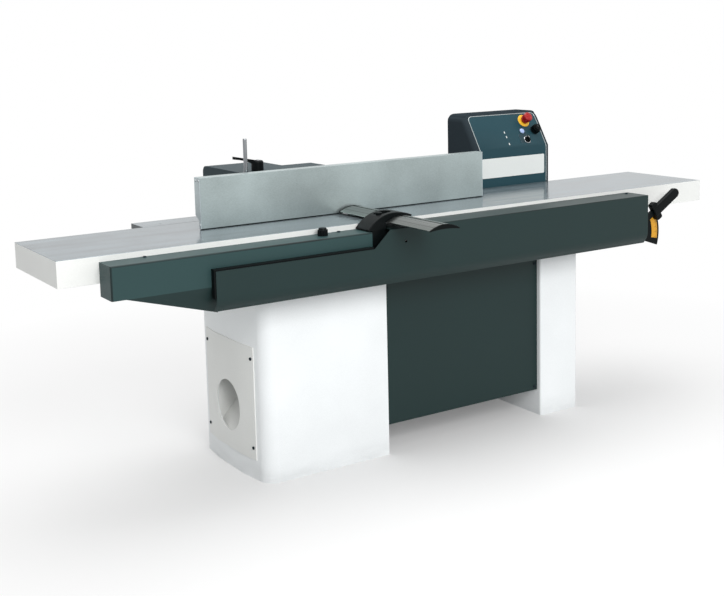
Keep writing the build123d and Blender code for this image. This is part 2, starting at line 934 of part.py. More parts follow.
# Base: cabinet with a faceted nose, nose cover with the dust port, leg and panels
def cabinet_plan(grow):
    """Outline of the cabinet seen from above, grown outwards or inwards by a distance."""
    corner_x = nose_x + nose_rake
    with BuildSketch() as plan:
        with BuildLine():
            Polyline(
                (cabinet_right, base_front),
                (corner_x, base_front),
                (nose_x, base_middle - nose_flat / 2),
                (nose_x, base_middle + nose_flat / 2),
                (corner_x, base_back),
                (cabinet_right, base_back),
                close=True,
            )
        make_face()
        fillet(plan.vertices().group_by(Axis.X)[1], nose_corner)
        if grow:
            offset(amount=grow, kind=Kind.INTERSECTION, mode=Mode.REPLACE)
    return plan.sketch


nose_screw_ys = (base_middle - nose_cover_half + screw_margin, base_middle + nose_cover_half - screw_margin)
nose_screw_zs = (
    nose_cover_bottom + 3 * screw_margin,
    nose_cover_bottom + nose_cover_height - 3 * screw_margin,
)
facet_run = nose_rake / (base_middle - nose_flat / 2 - base_front)


def nose_screw_plane(y, z):
    """A plane on the outer face of the nose cover, looking out of the facet at y."""
    side = -1 if y < base_middle else 1
    along = side * (y - base_middle) - nose_flat / 2
    thick = cover_sheet * hypot(1, facet_run)
    return Plane(
        origin=(nose_x + along * facet_run - thick, y, z),
        x_dir=(0, 0, 1),
        z_dir=(-1, side * facet_run, 0),
    )


def nose_screw_holes():
    """Cut the holes for the nose cover's screws through the piece being built."""
    for y in nose_screw_ys:
        for z in nose_screw_zs:
            with BuildSketch(nose_screw_plane(y, z)) as hole:
                Circle(screw_hole_radius)
            extrude(hole.sketch, amount=-screw_length, mode=Mode.SUBTRACT)


def anchor_holes(x_values):
    """Holes through a foot plate, one near the front and one near the back."""
    anchor_inset = sheet + foot_width / 2
    with Locations([(x, y) for x in x_values for y in (base_front + anchor_inset, base_back - anchor_inset)]):
        Circle(anchor_radius)


cabinet_anchor_x = cabinet_right - sheet - foot_width / 2
leg_anchor_x = leg_right - sheet - foot_width / 2
with BuildPart() as left_cabinet:
    with BuildSketch(Plane.XY):
        add(cabinet_plan(0))
    extrude(amount=base_height)
    with BuildSketch(Plane.XY.offset(foot_plate)):
        add(cabinet_plan(-sheet))
    extrude(amount=base_height - foot_plate - sheet, mode=Mode.SUBTRACT)
    with BuildSketch(Plane.XY):
        add(cabinet_plan(-sheet - foot_width))
        anchor_holes([cabinet_anchor_x])
    extrude(amount=foot_plate, mode=Mode.SUBTRACT)
    with BuildSketch(Plane.XY.offset(base_height - sheet)):
        throat_margin = 3 * chute_sheet
        with BuildLine():
            Polyline(
                (chute_throat_left - throat_margin, base_front + chute_throat_front - throat_margin),
                (cabinet_right - sheet, base_front + chute_throat_front - throat_margin),
                (cabinet_right - sheet, base_back - chute_throat_back + throat_margin),
                (chute_throat_left - throat_margin, base_back - chute_throat_back + throat_margin),
                close=True,
            )
        make_face()
    extrude(amount=sheet, mode=Mode.SUBTRACT)
    with BuildSketch(across(nose_x)):
        with Locations((base_middle, port_z)):
            Circle(port_radius + port_rim)
    extrude(amount=sheet, mode=Mode.SUBTRACT)
    nose_screw_holes()
left_cabinet.part.label = "left_cabinet"
export_step(left_cabinet.part, "parts/left_cabinet.step")

with BuildPart() as nose_cover:
    with BuildSketch(Plane.XY.offset(nose_cover_bottom)):
        add(cabinet_plan(cover_sheet))
        add(cabinet_plan(0), mode=Mode.SUBTRACT)
        with Locations((nose_x, base_middle)):
            Rectangle(4 * nose_rake, 2 * nose_cover_half, mode=Mode.INTERSECT)
    extrude(amount=nose_cover_height)
    with BuildSketch(across(nose_x - cover_sheet)):
        with Locations((base_middle, port_z)):
            Circle(port_radius)
    extrude(amount=cover_sheet, mode=Mode.SUBTRACT)
    nose_screw_holes()
nose_cover.part.label = "nose_cover"
export_step(nose_cover.part, "parts/nose_cover.step")

with BuildPart() as right_leg:
    slab((leg_left, leg_right), (base_front, base_back), (0, base_height))
    fillet(right_leg.edges().filter_by(Axis.Z), leg_edge)
    slab(
        (leg_left + sheet, leg_right - sheet),
        (base_front + sheet, base_back - sheet),
        (foot_plate, base_height - sheet),
        Mode.SUBTRACT,
    )
    with BuildSketch(Plane.XY):
        with Locations(((leg_left + leg_right) / 2, base_middle)):
            Rectangle(
                leg_width - 2 * (sheet + foot_width),
                base_back - base_front - 2 * (sheet + foot_width),
            )
        anchor_holes([leg_anchor_x])
    extrude(amount=foot_plate, mode=Mode.SUBTRACT)
right_leg.part.label = "right_leg"
export_step(right_leg.part, "parts/right_leg.step")

panel_x = (cabinet_right, leg_left)
panel_z = (panel_bottom, base_height)
panel_corners = [
    (x, z)
    for x in (panel_x[0] + screw_margin, panel_x[1] - screw_margin)
    for z in (panel_z[0] + screw_margin, panel_z[1] - 4 * screw_margin)
]


def tray(face, into):
    """A folded panel between cabinet and leg whose edges turn into the machine."""
    edges = (face + into * panel_sheet, face + into * panel_return)
    with BuildPart() as panel:
        slab(panel_x, (min(face, edges[1]), max(face, edges[1])), panel_z)
        slab(
            (panel_x[0] + panel_sheet, panel_x[1] - panel_sheet),
            (min(edges), max(edges)),
            (panel_z[0] + panel_sheet, panel_z[1] - panel_sheet),
            Mode.SUBTRACT,
        )
    return panel


with BuildPart() as centre_panel:
    add(tray(panel_face, 1).part)
    with BuildSketch(facing(panel_face + panel_sheet)):
        with Locations(panel_corners):
            Circle(screw_hole_radius)
    extrude(amount=panel_sheet, mode=Mode.SUBTRACT)
centre_panel.part.label = "centre_panel"
export_step(centre_panel.part, "parts/centre_panel.step")

rear_face = base_back - panel_setback
with BuildPart() as rear_panel:
    add(tray(rear_face, -1).part)
    with BuildSketch(facing(rear_face)):
        with Locations((motor_x, motor_z)):
            with GridLocations(0, louvre_pitch, 1, louvre_rows):
                SlotOverall(louvre_length, louvre_height)
    extrude(amount=panel_sheet, mode=Mode.SUBTRACT)
rear_panel.part.label = "rear_panel"
export_step(rear_panel.part, "parts/rear_panel.step")


# Dust chute: a hopper under the cutterhead and a ramp of plates that narrows to the port
throat_x = (chute_throat_left, chute_throat_right)
throat_y = (base_front + chute_throat_front, base_back - chute_throat_back)
throat_z = base_height - sheet
mouth_x = nose_x + sheet
ramp_past = 4 * chute_sheet


def ramp(floor, roof, sides):
    """The inside of the ramp, with its floor, roof and sides each moved outwards by a distance."""
    left, right = throat_x[0] - roof, throat_x[1] + floor
    front, back = throat_y[0] - sides, throat_y[1] + sides
    mouth_half = chute_mouth_half + sides
    with BuildPart() as form:
        with BuildSketch(facing(back)):
            with BuildLine():
                Polyline(
                    (left, throat_z),
                    (right, throat_z),
                    (mouth_x, port_z - chute_mouth_low - floor),
                    (mouth_x, port_z + chute_mouth_high + roof),
                    close=True,
                )
            make_face()
        extrude(amount=back - front)
        with BuildSketch(Plane.XY):
            with BuildLine():
                Polyline(
                    (right, front),
                    (throat_x[0], front),
                    (mouth_x, base_middle - mouth_half),
                    (mouth_x, base_middle + mouth_half),
                    (throat_x[0], back),
                    (right, back),
                    close=True,
                )
            make_face()
        extrude(amount=throat_z, mode=Mode.INTERSECT)
    return form.part


def hopper(grow):
    """The inside of the hopper, with its sides moved outwards by a distance."""
    inlet_y = (front_inner + head_end_gap, table_back - chute_sheet - head_end_gap)
    with BuildPart() as form:
        for x, y, z in (
            ((chute_inlet_left, chute_inlet_right), inlet_y, head_z - head_radius - chute_inlet_drop),
            (throat_x, throat_y, throat_z + weld_seam),
        ):
            with BuildSketch(Plane.XY.offset(z)):
                with Locations(((x[0] + x[1]) / 2, (y[0] + y[1]) / 2)):
                    Rectangle(x[1] - x[0] + 2 * grow, y[1] - y[0] + 2 * grow)
        loft(ruled=True)
    return form.part


def between(outer, inner):
    """The plate left when the inner form is cut from the outer one."""
    with BuildPart() as plate:
        add(outer)
        add(inner, mode=Mode.SUBTRACT)
    return plate.part


with BuildPart() as dust_chute:
    add(between(hopper(chute_sheet), hopper(0)))
    add(between(ramp(chute_sheet, 0, chute_sheet), ramp(0, ramp_past, ramp_past)))
    add(between(ramp(0, chute_sheet, chute_sheet), ramp(ramp_past, 0, ramp_past)))
    add(between(ramp(-weld_seam, -weld_seam, chute_sheet), ramp(ramp_past, ramp_past, 0)))
dust_chute.part.label = "dust_chute"
export_step(dust_chute.part, "parts/dust_chute.step")


# Front covers: folded sheets along the operator's side, with brackets to the bed
def flap_plane(left, face, level):
    """A plane on a flap folded inwards below a front face, with its sketches reading X and up."""
    lean = radians(flap_angle)
    return Plane(origin=(left, face, level), x_dir=(1, 0, 0), z_dir=(0, -cos(lean), -sin(lean)))


outfeed_cover_x = (outfeed_cover_left, outfeed_cover_right)
outfeed_flap_z = outfeed_cover_top - outfeed_cover_face
outfeed_strip_z = outfeed_cover_top - outfeed_strip
outfeed_screws = [
    (x, table_front - screw_margin)
    for x in (outfeed_cover_left + 10 * screw_margin, outfeed_cover_right - 6 * screw_margin)
]
with BuildPart() as outfeed_front_cover:
    with BuildSketch(facing(outfeed_face + front_sheet)):
        with BuildLine():
            Polyline(
                (outfeed_cover_left, outfeed_cover_top),
                (outfeed_cover_right, outfeed_cover_top),
                (outfeed_cover_right, outfeed_strip_z),
                (outfeed_step, outfeed_strip_z),
                (outfeed_step, outfeed_flap_z),
                (outfeed_cover_left, outfeed_flap_z),
                close=True,
            )
        make_face()
    extrude(amount=front_sheet)
    slab(
        outfeed_cover_x,
        (outfeed_face, table_front),
        (outfeed_cover_top - front_sheet, outfeed_cover_top),
    )
    slab(
        outfeed_cover_x,
        (table_front - front_sheet, table_front),
        (outfeed_cover_top - outfeed_hang, outfeed_cover_top),
    )
    slab(
        (outfeed_cover_left, outfeed_cover_left + front_sheet),
        (outfeed_face, table_front),
        (outfeed_flap_z, outfeed_cover_top),
    )
    tuck_x = (outfeed_step, outfeed_cover_right)
    tuck_y = outfeed_face + outfeed_tuck_depth
    tuck_top = outfeed_strip_z + front_sheet
    slab(tuck_x, (outfeed_face, tuck_y + front_sheet), (outfeed_strip_z, tuck_top))
    slab(tuck_x, (tuck_y, tuck_y + front_sheet), (outfeed_strip_z - outfeed_tuck, tuck_top))
    with BuildSketch(flap_plane(outfeed_cover_left, outfeed_face, outfeed_flap_z)):
        with BuildLine():
            Polyline(
                (outfeed_flap_start, 0),
                (outfeed_step - outfeed_cover_left, 0),
                (outfeed_step - outfeed_cover_left, -outfeed_flap),
                close=True,
            )
        make_face()
    extrude(amount=-front_sheet)
    for x, y in outfeed_screws:
        post(x, y, (outfeed_cover_top - front_sheet, outfeed_cover_top), screw_hole_radius, Mode.SUBTRACT)
    post(
        cover_knob_x,
        cover_knob_y,
        (outfeed_cover_top - front_sheet, outfeed_cover_top),
        knob_stud_radius + knob_gap,
        Mode.SUBTRACT,
    )
outfeed_front_cover.part.label = "outfeed_front_cover"
export_step(outfeed_front_cover.part, "parts/outfeed_front_cover.step")

main_low_top = main_top - main_cover_low
main_flange_back = table_front - cover_gap
main_screw = (main_cover_right - 2.5 * screw_margin, main_flange_back - 2 * screw_margin)
with BuildPart() as main_front_cover:
    with BuildSketch(across(main_cover_left)):
        with BuildLine():
            middle = front_sheet / 2
            FilletPolyline(
                (main_flange_back, main_top - middle),
                (main_face + middle, main_top - middle),
                (main_face + middle, main_top - main_cover_face),
                radius=front_sheet,
            )
            bend = JernArc(
                start=(main_face + middle, main_top - main_cover_face),
                tangent=(0, -1),
                radius=main_bend_radius,
                arc_size=main_bend_angle,
            )
            Line(bend @ 1, bend @ 1 + main_flap * (bend % 1))
        trace(line_width=front_sheet)
    extrude(amount=main_cover_right - main_cover_left)
    with BuildSketch(facing(table_front)):
        with BuildLine():
            Polyline(
                (main_cover_left, main_low_top),
                (main_slope_left, main_low_top),
                (main_slope_right, main_top),
                (main_slope_right, table_top),
                (main_cover_left, table_top),
                close=True,
            )
        make_face()
    extrude(amount=main_cover_depth + front_sheet, mode=Mode.SUBTRACT)
    slab(
        (main_cover_left, main_cover_left + front_sheet),
        (main_face, main_face + main_end_return),
        (main_top - main_cover_face, main_low_top),
    )
    round_bar(head_x, head_z, access_hole_radius, (main_face, main_face + front_sheet), Mode.SUBTRACT)
    post(*main_screw, (main_top - front_sheet, main_top), screw_hole_radius, Mode.SUBTRACT)
main_front_cover.part.label = "main_front_cover"
export_step(main_front_cover.part, "parts/main_front_cover.step")

bracket_xs = (
    bed_left + bracket_width,
    lift_near_x - 2 * bracket_width,
    leg_left - 3 * bracket_width,
    leg_right,
)
bracket_y = (main_face + front_sheet, bed_front)
bracket_low = main_top - main_cover_face + bracket_above_bend
bracket_z = (bracket_low, bracket_low + bracket_height)
with BuildPart() as cover_brackets:
    for x in bracket_xs:
        slab((x, x + bracket_width), bracket_y, bracket_z)
        slab(
            (x, x + bracket_width),
            (bracket_y[0] + sheet, bracket_y[1] - sheet),
            (bracket_z[0] + sheet, bracket_z[1]),
            Mode.SUBTRACT,
        )
cover_brackets.part.label = "cover_brackets"
export_step(cover_brackets.part, "parts/cover_brackets.step")


def screw(seat):
    """A socket screw whose head stands on a seat plane and whose shank goes through it."""
    with BuildSketch(seat) as head:
        Circle(screw_head_radius)
        RegularPolygon(screw_radius, 6, mode=Mode.SUBTRACT)
    extrude(head.sketch, amount=screw_head_height)
    with BuildSketch(seat) as shank:
        Circle(screw_radius)
    extrude(shank.sketch, amount=-screw_length)


with BuildPart() as cover_screws:
    for x, y in outfeed_screws:
        screw(Plane(origin=(x, y, outfeed_cover_top), z_dir=(0, 0, 1)))
    screw(Plane(origin=(*main_screw, main_top), z_dir=(0, 0, 1)))
    for x, z in panel_corners:
        screw(Plane(origin=(x, panel_face, z), z_dir=(0, -1, 0)))
    for y in nose_screw_ys:
        for z in nose_screw_zs:
            screw(nose_screw_plane(y, z))
cover_screws.part.label = "cover_screws"
export_step(cover_screws.part, "parts/cover_screws.step")

# Fence: a hollow profile with end caps, tilting on a pin at the front of its carriage
fence_right = fence_left + fence_length
fence_shoulder = fence_bottom + fence_step
fence_slope = fence_taper / (fence_thickness - fence_lower_plate)


def fence_hollow_z(y):
    """Height of the hollow's sloping floor at y, one wall above the profile's underside."""
    thickness = fence_wall * hypot(1, fence_slope)
    return fence_shoulder + fence_slope * (y - fence_face - fence_lower_plate) + thickness


def fence_outline():
    """The fence's outer section in Y and Z."""
    with BuildSketch() as outline:
        with BuildLine():
            Polyline(
                (fence_face, fence_bottom),
                (fence_face + fence_lower_plate, fence_bottom),
                (fence_face + fence_lower_plate, fence_shoulder),
                (fence_back, fence_shoulder + fence_taper),
                (fence_back, fence_top),
                (fence_face, fence_top),
                close=True,
            )
        make_face()
    return outline.sketch


with BuildPart() as fence_profile:
    with BuildSketch(across(fence_left + fence_cap)):
        add(fence_outline())
        with BuildLine():
            Polyline(
                (fence_face + fence_wall, fence_hollow_z(fence_face + fence_wall)),
                (fence_back - fence_wall, fence_hollow_z(fence_back - fence_wall)),
                (fence_back - fence_wall, fence_top - fence_wall),
                (fence_face + fence_wall, fence_top - fence_wall),
                close=True,
            )
        make_face(mode=Mode.SUBTRACT)
    extrude(amount=fence_length - 2 * fence_cap)
fence_profile.part.label = "fence_profile"
export_step(fence_profile.part, "parts/fence_profile.step")

with BuildPart() as fence_end_caps:
    for x in (fence_left, fence_right - fence_cap):
        with BuildSketch(across(x)):
            add(fence_outline())
        extrude(amount=fence_cap)
fence_end_caps.part.label = "fence_end_caps"
export_step(fence_end_caps.part, "parts/fence_end_caps.step")

saddle_x = (saddle_middle - saddle_half, saddle_middle + saddle_half)
bracket_lefts = (saddle_x[0] - bracket_gap - bracket_thick, saddle_x[1] + bracket_gap)
pin_x = (bracket_lefts[0], bracket_lefts[1] + bracket_thick)
with BuildPart() as fence_brackets:
    for x in bracket_lefts:
        with BuildSketch(across(x)):
            with BuildLine():
                Polyline(
                    (pin_y + ear_radius * sqrt(0.5), pin_z - ear_radius * sqrt(0.5)),
                    (fence_back + bracket_deep, pin_z - ear_radius * sqrt(0.5) + bracket_deep),
                    (fence_back + bracket_deep, table_top + bracket_top),
                    (fence_back, table_top + bracket_top),
                    (fence_back, fence_shoulder + fence_taper),
                    (pin_y - ear_radius * sqrt(0.5), pin_z + ear_radius * sqrt(0.5)),
                    close=True,
                )
            make_face()
            with Locations((pin_y, pin_z)):
                Circle(ear_radius)
                Circle(pin_radius + running_clearance, mode=Mode.SUBTRACT)
        extrude(amount=bracket_thick)
fence_brackets.part.label = "fence_brackets"
export_step(fence_brackets.part, "parts/fence_brackets.step")

with BuildPart() as tilt_pin:
    with BuildSketch(across(pin_x[0])):
        with Locations((pin_y, pin_z)):
            Circle(pin_radius)
    extrude(amount=pin_x[1] - pin_x[0])
tilt_pin.part.label = "tilt_pin"
export_step(tilt_pin.part, "parts/tilt_pin.step")

rod_y = fence_back + holder_depth / 2
with BuildPart() as rod_holder:
    holder_top = table_top + bracket_top
    slab(
        (rod_x - holder_half, rod_x + holder_half),
        (fence_back, fence_back + holder_depth),
        (holder_top - holder_height, holder_top),
    )
    fillet(rod_holder.edges().filter_by(Axis.Z).group_by(Axis.Y)[-1], rod_radius)
    post(rod_x, rod_y, (holder_top - holder_height, holder_top), rod_radius, Mode.SUBTRACT)
rod_holder.part.label = "rod_holder"
export_step(rod_holder.part, "parts/rod_holder.step")

with BuildPart() as fence_rod:
    post(rod_x, rod_y, (fence_top - rod_sunk, fence_top + rod_above_fence), rod_radius)
    fillet(fence_rod.edges().group_by(Axis.Z)[-1], rod_radius / 2)
fence_rod.part.label = "fence_rod"
export_step(fence_rod.part, "parts/fence_rod.step")

saddle_front = hood_front + saddle_nose
plate_front = table_back + cover_gap
rail_front = plate_front + cover_gap
saddle_top = hood_top - hood_sheet
tilt_shift = (fence_back - pin_y + saddle_slope_gap) * sqrt(2)
slope_shift = max(tilt_shift, saddle_front + saddle_nose - pin_y - (saddle_top - pin_z))


def slope_y(z):
    """Where the saddle's sloping front stands at a height, clear of the tilted fence."""
    return pin_y + z - pin_z + slope_shift


with BuildPart() as fence_saddle:
    with BuildSketch(across(saddle_x[0])):
        neck_top = pin_z + saddle_bottom
        with BuildLine():
            Polyline(
                (pin_y, table_top + saddle_bottom),
                (saddle_back, table_top + saddle_bottom),
                (saddle_back, saddle_top),
                (saddle_front, saddle_top),
                (saddle_front, pin_z + saddle_front - pin_y - slope_shift),
                (slope_y(neck_top), neck_top),
                (pin_y, neck_top),
                close=True,
            )
        make_face()
        with Locations((pin_y, pin_z)):
            Circle(ear_radius)
            Circle(pin_radius, mode=Mode.SUBTRACT)
    extrude(amount=2 * saddle_half)
    channel_y = (rail_front - fence_travel - cover_gap, saddle_back)
    slab(
        (saddle_middle - rail_web_half - rail_clearance, saddle_middle + rail_web_half + rail_clearance),
        channel_y,
        (table_top, rail_top),
        Mode.SUBTRACT,
    )
    slab(
        (saddle_middle - rail_half - rail_clearance, saddle_middle + rail_half + rail_clearance),
        channel_y,
        (rail_top - rail_head - rail_clearance, rail_top + rail_clearance),
        Mode.SUBTRACT,
    )
    post(
        lock_x,
        lock_y,
        (hood_top - lock_stud_length - lock_gap, hood_top),
        lock_stud_radius + lock_gap,
        Mode.SUBTRACT,
    )
fence_saddle.part.label = "fence_saddle"
export_step(fence_saddle.part, "parts/fence_saddle.step")

hood_right = hood_left + hood_width


def hood_form(inset):
    """The hood's form, with its sides, back and top moved inwards by an inset."""
    right = hood_right - inset
    step_right = hood_right + hood_step - inset
    step_back = hood_front + hood_step_length - inset
    back = hood_front + hood_length - inset
    with BuildPart() as form:
        with BuildSketch(Plane.XY.offset(table_top + hood_skirt_gap)):
            with BuildLine():
                Polyline(
                    (hood_left + inset, hood_front),
                    (step_right, hood_front),
                    (step_right, step_back),
                    (right, step_back),
                    (right, back),
                    (hood_left + inset, back),
                    close=True,
                )
            make_face()
        extrude(amount=hood_height - hood_skirt_gap - inset)
        rounded = form.edges().group_by(Axis.Z)[-1].filter_by(Axis.X).sort_by(Axis.Y)[1:]
        fillet(rounded, hood_edge - inset)
    return form.part


with BuildPart() as fence_hood:
    add(hood_form(0))
    add(hood_form(hood_sheet), mode=Mode.SUBTRACT)
    post(lock_x, lock_y, (hood_top - hood_sheet, hood_top), lock_stud_radius + lock_gap, Mode.SUBTRACT)
fence_hood.part.label = "fence_hood"
export_step(fence_hood.part, "parts/fence_hood.step")

lock_top = hood_top + lock_hub_height
with BuildPart() as lock_lever:
    post(lock_x, lock_y, (hood_top + lock_gap, lock_top), lock_hub_radius)
    fillet(lock_lever.edges().group_by(Axis.Z)[-1], lock_hub_radius / 3)
    post(lock_x, lock_y, (hood_top - lock_stud_length, hood_top + lock_gap), lock_stud_radius)
    with BuildSketch(facing(lock_y + lock_width / 2)):
        tip_x = lock_x - lock_reach
        tip_z = (lock_top + lock_rise - lock_tip / 2, lock_top + lock_rise + lock_tip / 2)
        with BuildLine():
            Polyline((tip_x, tip_z[0]), (tip_x, tip_z[1]), (lock_x, lock_top), (lock_x, lock_top - lock_root))
            ThreePointArc(
                (lock_x, lock_top - lock_root),
                (lock_x - lock_reach / 2, lock_top),
                (tip_x, tip_z[0]),
            )
        make_face()
    extrude(amount=lock_width)
    fillet(lock_lever.edges().filter_by(Axis.Z).group_by(Axis.X)[0], lock_width / 3)
lock_lever.part.label = "lock_lever"
export_step(lock_lever.part, "parts/lock_lever.step")

plate_back = plate_front + plate_depth
plate_under = table_top - plate_thickness
rail_end = table_back + rail_length
with BuildPart() as rear_fence_plate:
    slab((plate_left, plate_right), (plate_front, plate_back), (plate_under, table_top))
    for x in (bed_left, plate_right - plate_foot):
        slab((x, x + plate_foot), (plate_front, plate_back), (bed_top, plate_under))
    rib_middle = (plate_front + plate_back) / 2
    with BuildSketch(facing(rib_middle + plate_rib / 2)):
        with BuildLine():
            Polyline(
                (plate_left + plate_foot, plate_under),
                (bed_left, plate_under),
                (bed_left, bed_top),
                close=True,
            )
        make_face()
    extrude(amount=plate_rib)
    with BuildSketch(across(saddle_middle - rail_half)):
        with BuildLine():
            Polyline(
                (rib_middle, table_top),
                (rail_end, table_top),
                (rail_end, plate_under),
                (rib_middle, plate_under - plate_thickness),
                close=True,
            )
        make_face()
    extrude(amount=2 * rail_half)
    post(
        plate_hole_x,
        plate_front + plate_hole_inset,
        (plate_under, table_top),
        screw_hole_radius,
        Mode.SUBTRACT,
    )
rear_fence_plate.part.label = "rear_fence_plate"
export_step(rear_fence_plate.part, "parts/rear_fence_plate.step")

with BuildPart() as fence_rail:
    rail_y = (rail_front, rail_end)
    slab((saddle_middle - rail_web_half, saddle_middle + rail_web_half), rail_y, (table_top, rail_top))
    slab((saddle_middle - rail_half, saddle_middle + rail_half), rail_y, (rail_top - rail_head, rail_top))
fence_rail.part.label = "fence_rail"
export_step(fence_rail.part, "parts/fence_rail.step")


# Bridge guard: an arched blade that slides on a key under an arm, the arm rising in a guide
key_top = blade_crest - key_drop
key_low = key_top - key_head
with BuildPart() as guard_blade:
    with BuildSketch(facing(blade_back)):
        spread = degrees(asin(blade_half / blade_radius))
        inner_radius = blade_radius - blade_thickness
        sector((blade_middle, blade_centre), inner_radius, blade_radius, 90 - spread, 90 + spread)
        boss_half = key_head_half + key_clearance + channel_wall
        boss_low = key_low - key_clearance - blade_thickness
        with Locations((blade_middle, (boss_low + blade_crest - blade_thickness / 2) / 2)):
            Rectangle(2 * boss_half, blade_crest - blade_thickness / 2 - boss_low)
        with Locations((blade_middle, (key_low + key_top) / 2)):
            Rectangle(
                2 * (key_head_half + key_clearance),
                key_head + 2 * key_clearance,
                mode=Mode.SUBTRACT,
            )
        with Locations((blade_middle, (key_top + table_top + arm_crest) / 2)):
            Rectangle(
                2 * (key_neck_half + key_clearance),
                table_top + arm_crest - key_top,
                mode=Mode.SUBTRACT,
            )
    extrude(amount=blade_length)
guard_blade.part.label = "guard_blade"
export_step(guard_blade.part, "parts/guard_blade.step")

with BuildPart() as blade_caps:
    for y in (blade_front, blade_back + blade_cap):
        with BuildSketch(facing(y)):
            with BuildLine():
                reach = blade_half + blade_cap_lip
                floor = blade_z - blade_thickness
                Polyline(
                    (blade_middle - reach, blade_z),
                    (blade_middle - reach, floor),
                    (blade_middle + reach, floor),
                    (blade_middle + reach, blade_z),
                )
                ThreePointArc(
                    (blade_middle - reach, blade_z),
                    (blade_middle, blade_crest + blade_cap_lip),
                    (blade_middle + reach, blade_z),
                )
            make_face()
        extrude(amount=blade_cap)
blade_caps.part.label = "blade_caps"
export_step(blade_caps.part, "parts/blade_caps.step")

hug_radius = blade_radius + arm_gap


def over_blade(x):
    """A point of the arm's underside, one gap above the blade's crown."""
    return (x, blade_centre + sqrt(hug_radius**2 - (x - blade_middle) ** 2))


arm_low = main_top - lip_drop_below
arm_key_y = (arm_front + key_margin, arm_back - key_margin)
stem_y = (arm_front + stem_inset, arm_back - stem_inset)
recess_floor = table_top + arm_crest - recess_depth
with BuildPart() as guard_arm:
    with BuildSketch(facing(arm_back)):
        crest = (arm_crest_x, table_top + arm_crest)
        tip = (arm_tip_x, table_top + arm_tip)
        with BuildLine():
            rise = ThreePointArc((arm_lip_x, main_top), (arm_brow_x, table_top + arm_brow), crest)
            TangentArc(crest, tip, tangent=rise % 1)
            Line(tip, over_blade(arm_tip_x - lip_above_cover))
            ThreePointArc(
                over_blade(arm_tip_x - lip_above_cover),
                (blade_middle, blade_centre + hug_radius),
                over_blade(stem_right),
            )
            Polyline(
                over_blade(stem_right),
                (stem_right, arm_low),
                (arm_lip_x, arm_low),
                (arm_lip_x, main_top),
            )
        make_face()
    extrude(amount=arm_depth)
    upper_arcs = guard_arm.edges().filter_by(GeomType.CIRCLE)
    fillet([edge for edge in upper_arcs if abs(edge.radius - hug_radius) > arm_gap], arm_edge)
    slab((stem_left, stem_right), stem_y, (stem_bottom, main_top + lip_above_cover))
    slab(
        (blade_middle - key_neck_half, blade_middle + key_neck_half),
        arm_key_y,
        (key_low, blade_crest + 2 * arm_gap),
    )
    slab((blade_middle - key_head_half, blade_middle + key_head_half), arm_key_y, (key_low, key_top))
    with BuildSketch(Plane.XY.offset(recess_floor)):
        with Locations((recess_x, arm_middle)):
            SlotOverall(recess_length, recess_width)
    extrude(amount=2 * recess_depth, mode=Mode.SUBTRACT)
    post(
        guard_knob_x,
        arm_middle,
        (recess_floor - guard_stud_length - knob_gap, recess_floor),
        knob_stud_radius + knob_gap,
        Mode.SUBTRACT,
    )
guard_arm.part.label = "guard_arm"
export_step(guard_arm.part, "parts/guard_arm.step")

with BuildPart() as guard_guide:
    slab(
        (stem_left - guide_wall, stem_right + guide_wall),
        (stem_y[0] - guide_wall, bed_front),
        (bed_top - guide_height, bed_top),
    )
    slab(
        (stem_left - guide_clearance, stem_right + guide_clearance),
        (stem_y[0] - guide_clearance, stem_y[1] + guide_clearance),
        (bed_top - guide_height, bed_top),
        Mode.SUBTRACT,
    )
guard_guide.part.label = "guard_guide"
export_step(guard_guide.part, "parts/guard_guide.step")


def grip_knob(plane, radius, height, grips, stud):
    """A fluted knob standing on a plane, with a stud that goes through it."""
    with BuildPart() as knob:
        with BuildSketch(plane.offset(knob_gap)):
            Circle(radius)
            with PolarLocations(radius + radius / 12, grips):
                Circle(radius / 5, mode=Mode.SUBTRACT)
        extrude(amount=0.75 * height)
        with BuildSketch(plane.offset(0.75 * height)):
            Circle(0.85 * radius)
        extrude(amount=0.25 * height, taper=20)
        with BuildSketch(plane.offset(knob_gap)):
            Circle(stud[0])
        extrude(amount=-stud[1])
    return knob


guard_knob = grip_knob(
    Plane(origin=(guard_knob_x, arm_middle, recess_floor), z_dir=(0, 0, 1)),
    guard_knob_radius,
    guard_knob_height,
    guard_knob_grips,
    (knob_stud_radius, guard_stud_length),
)
guard_knob.part.label = "guard_knob"
export_step(guard_knob.part, "parts/guard_knob.step")

cover_knob = grip_knob(
    Plane(origin=(cover_knob_x, cover_knob_y, outfeed_cover_top), z_dir=(0, 0, 1)),
    cover_knob_radius,
    cover_knob_height,
    cover_knob_grips,
    (knob_stud_radius, knob_stud_length),
)
cover_knob.part.label = "cover_knob"
export_step(cover_knob.part, "parts/cover_knob.step")

# Control box: a housing that leans back above a fold, its front plate and the controls
fold_z = table_top + box_fold
box_top_z = table_top + box_top
box_back = box_front + box_depth
lean_length = hypot(box_lean, box_top - box_fold)
lean_sin = box_lean / lean_length
lean_cos = (box_top - box_fold) / lean_length
front_x = (box_left + front_margin, box_right - front_margin)
front_low = table_top - front_margin
front_high = lean_length - front_margin / 2
lean_face = Plane(origin=(0, box_front, fold_z), x_dir=(1, 0, 0), z_dir=(0, -lean_cos, lean_sin))


def on_front(up, depth):
    """A point (Y, Z) a distance up the leaning face and a depth behind it."""
    return (box_front + up * lean_sin + depth * lean_cos, fold_z + up * lean_cos - depth * lean_sin)


fold_shift = (1 - lean_cos) / lean_sin


def front_section():
    """The section of the folded front plate in Y and Z."""
    with BuildSketch() as section:
        with BuildLine():
            Polyline(
                (box_front, front_low),
                (box_front, fold_z),
                on_front(front_high, 0),
                on_front(front_high, front_plate),
                (box_front + front_plate, fold_z - front_plate * fold_shift),
                (box_front + front_plate, front_low),
                close=True,
            )
        make_face()
    return section.sketch


